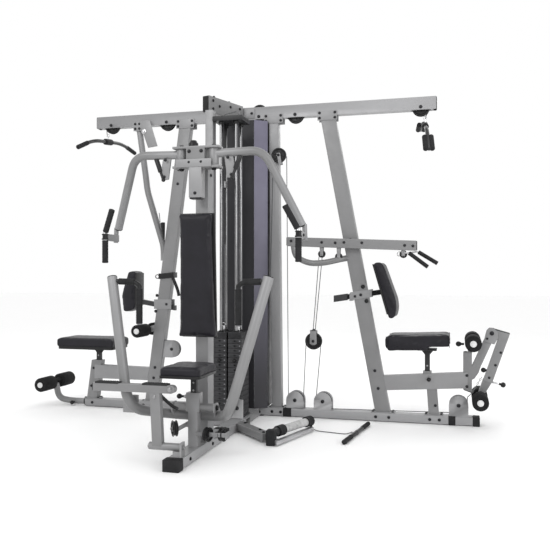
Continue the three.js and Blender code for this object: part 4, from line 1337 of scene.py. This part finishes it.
def side_pad(name, x, z, half, outline, side):
    body = "side_pad_" + name
    shape = slab([(x + side * u, z + v) for u, v in outline], 16, "Y", 7 - half, half - 7)
    stuffed("side_pad_cushion_" + name, body, shape, (-side, 0, 0), 0.008, 0.75, "back_pad_" + name)
    bar = Piece("side_pad_bar_" + name, BLACK, body).node("pad_bar_" + name, 0)
    bar.done("pad_bar_" + name)
    board = Piece("side_pad_board_" + name, NYLON, body)
    (u0, v0), (u1, v1) = outline[0], outline[-1]
    low = (u1, v1)
    if name == "right":
        low = (u1 + (outline[-2][0] - u1) * 0.8, v1 + (outline[-2][1] - v1) * 0.8)
    spine = [(x + side * (u0 - 5), z + v0 - 12), (x + side * (u0 + 8), z + v0 - 12),
             (x + side * (u1 + 8), z + v1 + 4), (x + side * (low[0] + 8), z + low[1]),
             (x + side * (low[0] - 5), z + low[1]), (x + side * (u1 - 5), z + v1 + 4)]
    board.prism(spine, "Y", 12 - half, half - 12, 1.5)
    board.done()


front_pads()
right_seat()
left_seat()
side_pad("right", 807, 1042, 125, RIGHT_PAD, 1)
side_pad("left", -874, 990, 75, LEFT_PAD, -1)


# ------------------------------------------------------------------ pulleys and cables
def wheel(piece, centre, radius=PULLEY_R, axis=(0, 1, 0)):
    """A moulded cable pulley: deep groove, recessed web and six ribs on each face."""
    k = radius / PULLEY_R
    profile = [(-11, 6), (-11, 15), (-10, 17), (-5, 18), (-5, 42 * k), (-9.5, 45 * k), (-11, 50 * k),
               (-11, 55 * k), (-9.5, 57 * k), (-3, 49 * k), (-1, 48.2 * k)]
    profile += [(-h, r) for h, r in reversed(profile)]
    centre, turn = Vector(centre), basis(axis)
    piece.lathe(centre, axis, profile, 48)
    for i in range(6):
        a = math.radians(60 * i + 15)
        for h in (-5, 5):
            start, end = (centre + turn @ Vector((reach * math.cos(a), reach * math.sin(a), h))
                          for reach in (14, 44 * k))
            piece.rod(start, end, 2.8, 0.5, 8)


def low_pulleys():
    """Small guide wheels of the press cable around the front seat's column."""
    wheels = Piece("low_guide_wheels", NYLON)
    forks = Piece("low_guide_forks", SILVER)
    pins = Piece("low_guide_pins", ZINC)
    for centre, radius, axis in (((-64, -1284, 168), 42, (0.8, 0.6, 0)),
                                 ((84, -1196, 126), 38, (1, -0.25, 0)),
                                 ((158, -1168, 126), 38, (1, -0.25, 0))):
        wheel(wheels, centre, radius, axis)
        centre, along = Vector(centre), Vector(axis).normalized()
        pins.rod(centre - along * 20, centre + along * 20, 6, 0.6, 16)
        for side in (-1, 1):
            hex_bolt(pins, centre + along * (17 * side), along * side, 7)
    forks.box((-44, -1292, 158), (-37, -1158, 180), 1.5)
    forks.box((-44, -1190, 157), (-25, -1158, 181), 1.5)
    forks.box((18, -1201, 116), (190, -1194, 138), 1.5)
    for x in (60, 124, 184):
        forks.box((x - 3, -1204, 104), (x + 3, -1150, 140), 1.2)
    finish(wheels, forks, pins)


def pulleys():
    places = {"floating_pulley": ((FLOATING[0], 0, FLOATING[1]), PULLEY_R),
              "pulley_boom_right": ((BOOM_PULLEYS[1], 0, PULLEY_AXLE_Z), PULLEY_R),
              "pulley_boom_left": ((BOOM_PULLEYS[3], 0, PULLEY_AXLE_Z), PULLEY_R),
              "pulley_tower": (TOWER_WHEEL, 50)}
    for name, (centre, radius) in places.items():
        rim = Piece(name + "_wheel", NYLON, name)
        wheel(rim, centre, radius)
        rim.done(name)
        hub = Piece(name + "_bearing", ZINC, name)
        for out in (1, -1):
            hub.lathe((centre[0], centre[1] - 12.5 * out, centre[2]), (0, out, 0),
                      [(0, 6), (0, 13), (1.5, 14), (3, 14)], 24)
        hub.done()
    fixed = Piece("fixed_wheels", NYLON)
    for x, z in DOMES:
        wheel(fixed, (x, 0, z), 55)
    for x, z in ((277, PULLEY_AXLE_Z), (-658, PULLEY_AXLE_Z), (23, TOP_WHEEL_Z)):
        wheel(fixed, (x, 0, z))
    fixed.done()
    floating_block()
    tower_bracket()


def floating_block():
    x, z = FLOATING
    block = Piece("floating_block", SILVER)
    for y in (-18.5, 15.5):
        block.prism([(x - 22, z + 74), (x + 22, z + 74), (x + 24, z - 16), (x + 10, z - 26), (x - 10, z - 26),
                     (x - 24, z - 16)], "Y", y, y + 3, 1.2)
    block.box((x - 22, -18.5, z + 68), (x + 22, 18.5, z + 74), 1.2)
    block.done()
    bolt = Piece("floating_block_bolt", BOLT)
    through_bolt(bolt, x, z, 18.5, 8)
    hex_bolt(bolt, (x, 0, z + 74), (0, 0, 1), 9)
    bolt.done()


def tower_bracket():
    x, y, z = TOWER_WHEEL
    bracket = Piece("tower_wheel_bracket", SILVER)
    for edge in (y - 18, y + 14):
        bracket.prism([(x - 12, z + 14), (x + 12, z + 14), (x + 24, z - 62), (x + 2, z - 66)], "Y",
                      edge, edge + 3.5, 1.2)
    bracket.done()
    bolt = Piece("tower_wheel_bolt", BOLT)
    through_bolt(bolt, x, z, 18, 8, y)
    bolt.done()


def cables():
    Piece("right_cable", ROPE).node("cable_right", 0).done("cable_right", smooth=70)
    fixed = Piece("fixed_cables", ROPE)
    for line in ([(397, -8, 575), (420, -30, 800), (447, MID_Y, 1078), (452, MID_Y, 1090)],
                 [(412, -12, 575), (438, -34, 800), (468, MID_Y, 1072), (470, MID_Y, 1088)],
                 [(-709, -36, 1397), (-702, -36, 1330)], [(1399, 0, 178), (1425, 0, 205)],
                 [(-115, -362, 1958), (-112, -350, 1990), (-70, -240, 2030)],
                 [(-15, -362, 1958), (-17, -350, 1990), (-50, -220, 2030)],
                 [(130, -44, 1755), (126, -70, 1300), (118, -100, 700), (110, -150, 120)],
                 [(-600, 0, 2093), (-1089, 0, 2094)], [(300, 0, 2093), (1108, 0, 2094)]):
        fixed.tube(line, CABLE_R, 30, 10, 4)
    fixed.done()
    for name, (x, y) in STACKS.items():
        lift = Piece("lift_cable_" + name, ROPE, None)
        lift.tube([(x, y, 1960 - 65 * i) for i in range(21)], CABLE_R, 4, 12, 2)
        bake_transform(lift.done())
    lift = 1985  # where the clip of a lat bar ends at rest
    for name, side, wheel_x, x in (("left", -1, BOOM_PULLEYS[3], -1134), ("right", 1, BOOM_PULLEYS[1], 1138)):
        drop = Piece("lat_cable_" + name, ROPE, None)
        drop.tube([(wheel_x + side * 53, 0, 2037), (wheel_x + side * 49, 0, 2010),
                   (x + side * 3, 0, lift + 3), (x, 0, lift - 18)], CABLE_R, 12, 12, 12)
        made = drop.done()
        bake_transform(made)


def stack_strut():
    """Black gas strut with a bright adjusting collar beside the left stack's cable."""
    x, y = -124, -332
    strut = Piece("stack_strut", BLACK)
    strut.lathe((x, y, 1152), (0, 0, 1), [(0, 4), (3, 8), (380, 8), (382, 12), (700, 12), (770, 10),
                                          (778, 6)], 24)
    strut.done()
    collar = Piece("stack_strut_collar", ZINC)
    collar.lathe((x, y, 1518), (0, 0, 1),
                 [(0, 12), (2, 21), (12, 22), (14, 19), (30, 19), (32, 22), (42, 21), (44, 12)], 28)
    collar.done()


def lat_bar(name, x, reach, drop, roll, yaw):
    """A bent lat bar along Y with moulded hand grips, hanging from a clip at its middle."""
    body = "lat_bar_" + name
    z, sag = 1938, -drop * 0.16
    turn = Matrix.Translation((x, 0, z)) @ Matrix.Rotation(yaw, 4, "Z") @ Matrix.Rotation(roll, 4, "X")
    points = [turn @ Vector(p) for p in ((0, -reach, -drop), (0, -reach * 0.5, sag), (0, reach * 0.5, sag),
                                         (0, reach, -drop))]
    Piece("lat_bar_rod_" + name, BLACK, body).tube(points, 12.5, 120, 20, 12).done(body)
    grips = Piece("lat_bar_grips_" + name, RUBBER, body)
    for tip, bend in ((points[0], points[1]), (points[3], points[2])):
        if name == "left":
            ribbed_grip(grips, tip, tip.lerp(bend, 0.62), 15.5, 9, 1.2)
        else:
            twin_grip(grips, tip, tip.lerp(bend, 0.66))
    centre = turn @ Vector((0, 0, sag))
    along = (turn @ Vector((0, 1, 0)) - turn @ Vector((0, 0, 0))).normalized()
    grips.lathe(centre - along * 48, along, [(0, 15), (6, 22), (90, 22), (96, 15)], 28)
    grips.done()
    clip = Piece("lat_bar_clip_" + name, CHROME, body)
    clip.lathe(centre - Vector((0, 17, 0)), (0, 1, 0), [(0, 11), (2, 14.5), (32, 14.5), (34, 11)], 24)
    clip.rod(centre, (x, 0, z + 26), 6, 1, 20)
    clip.ring((x, 0, z + 34), (0, 1, 0), 10, 2.8)
    clip.done()


def twin_grip(grips, tip, inner):
    """Two parallel hand grips joined by a flat bridge at each end."""
    across = (inner - tip).cross(Vector((0, 0, 1))).normalized() * 19
    for sign in (-1, 1):
        ribbed_grip(grips, tip + across * sign, inner + across * sign, 16.5, 9, 1.2)
    for spot in (tip.lerp(inner, 0.06), tip.lerp(inner, 0.94)):
        grips.rod(spot - across * 1.5, spot + across * 1.5, 9, 1)


def lat_bars():
    lat_bar("left", -1128, 430, 72, 0.12, 0)
    lat_bar("right", 1134, 380, 100, 0.35, 0.12)


def pop_pins():
    for name, x, y, z, out in (("front", -37.3, PRESS_Y, 314, (-1, 0, 0)),
                               ("right", 1161, -29.3, 292, (0, -1, 0))):
        body = "pop_pin_" + name
        stem = Piece("pop_pin_stem_" + name, ZINC, body)
        stem.lathe((x, y, z), out, [(0, 9), (1, 10.5), (14, 10.5), (16, 7), (30, 5)], 20)
        stem.done(body)
        knob = Piece("pop_pin_knob_" + name, NYLON, body)
        knob.lathe(Vector((x, y, z)) + Vector(out) * 20, out, knob_profile(14, 40), 28)
        knob.done()


def small_hooks():
    """The left upright's hanging handle cone and the link chain at the leg developer."""
    cone = Piece("hanging_stop", NYLON)
    cone.lathe((-684, -34, 1330), (0.1, -0.02, -1), [(0, 6), (3, 17), (60, 12), (118, 6), (122, 3)], 24)
    cone.done()
    links = Piece("lever_chain", ZINC)
    start, end = Vector((1425, 0, 205)), Vector((1484, 0, 306))
    count = 9
    for i in range(count):
        spot = start.lerp(end, i / (count - 1))
        along = (end - start).normalized()
        axis = Vector((0, 1, 0)) if i % 2 else along.cross(Vector((0, 1, 0)))
        links.ring(spot, axis, 5.6, 1.6, 16)
    links.done()


pulleys()
low_pulleys()
cables()
stack_strut()
lat_bars()
pop_pins()
small_hooks()
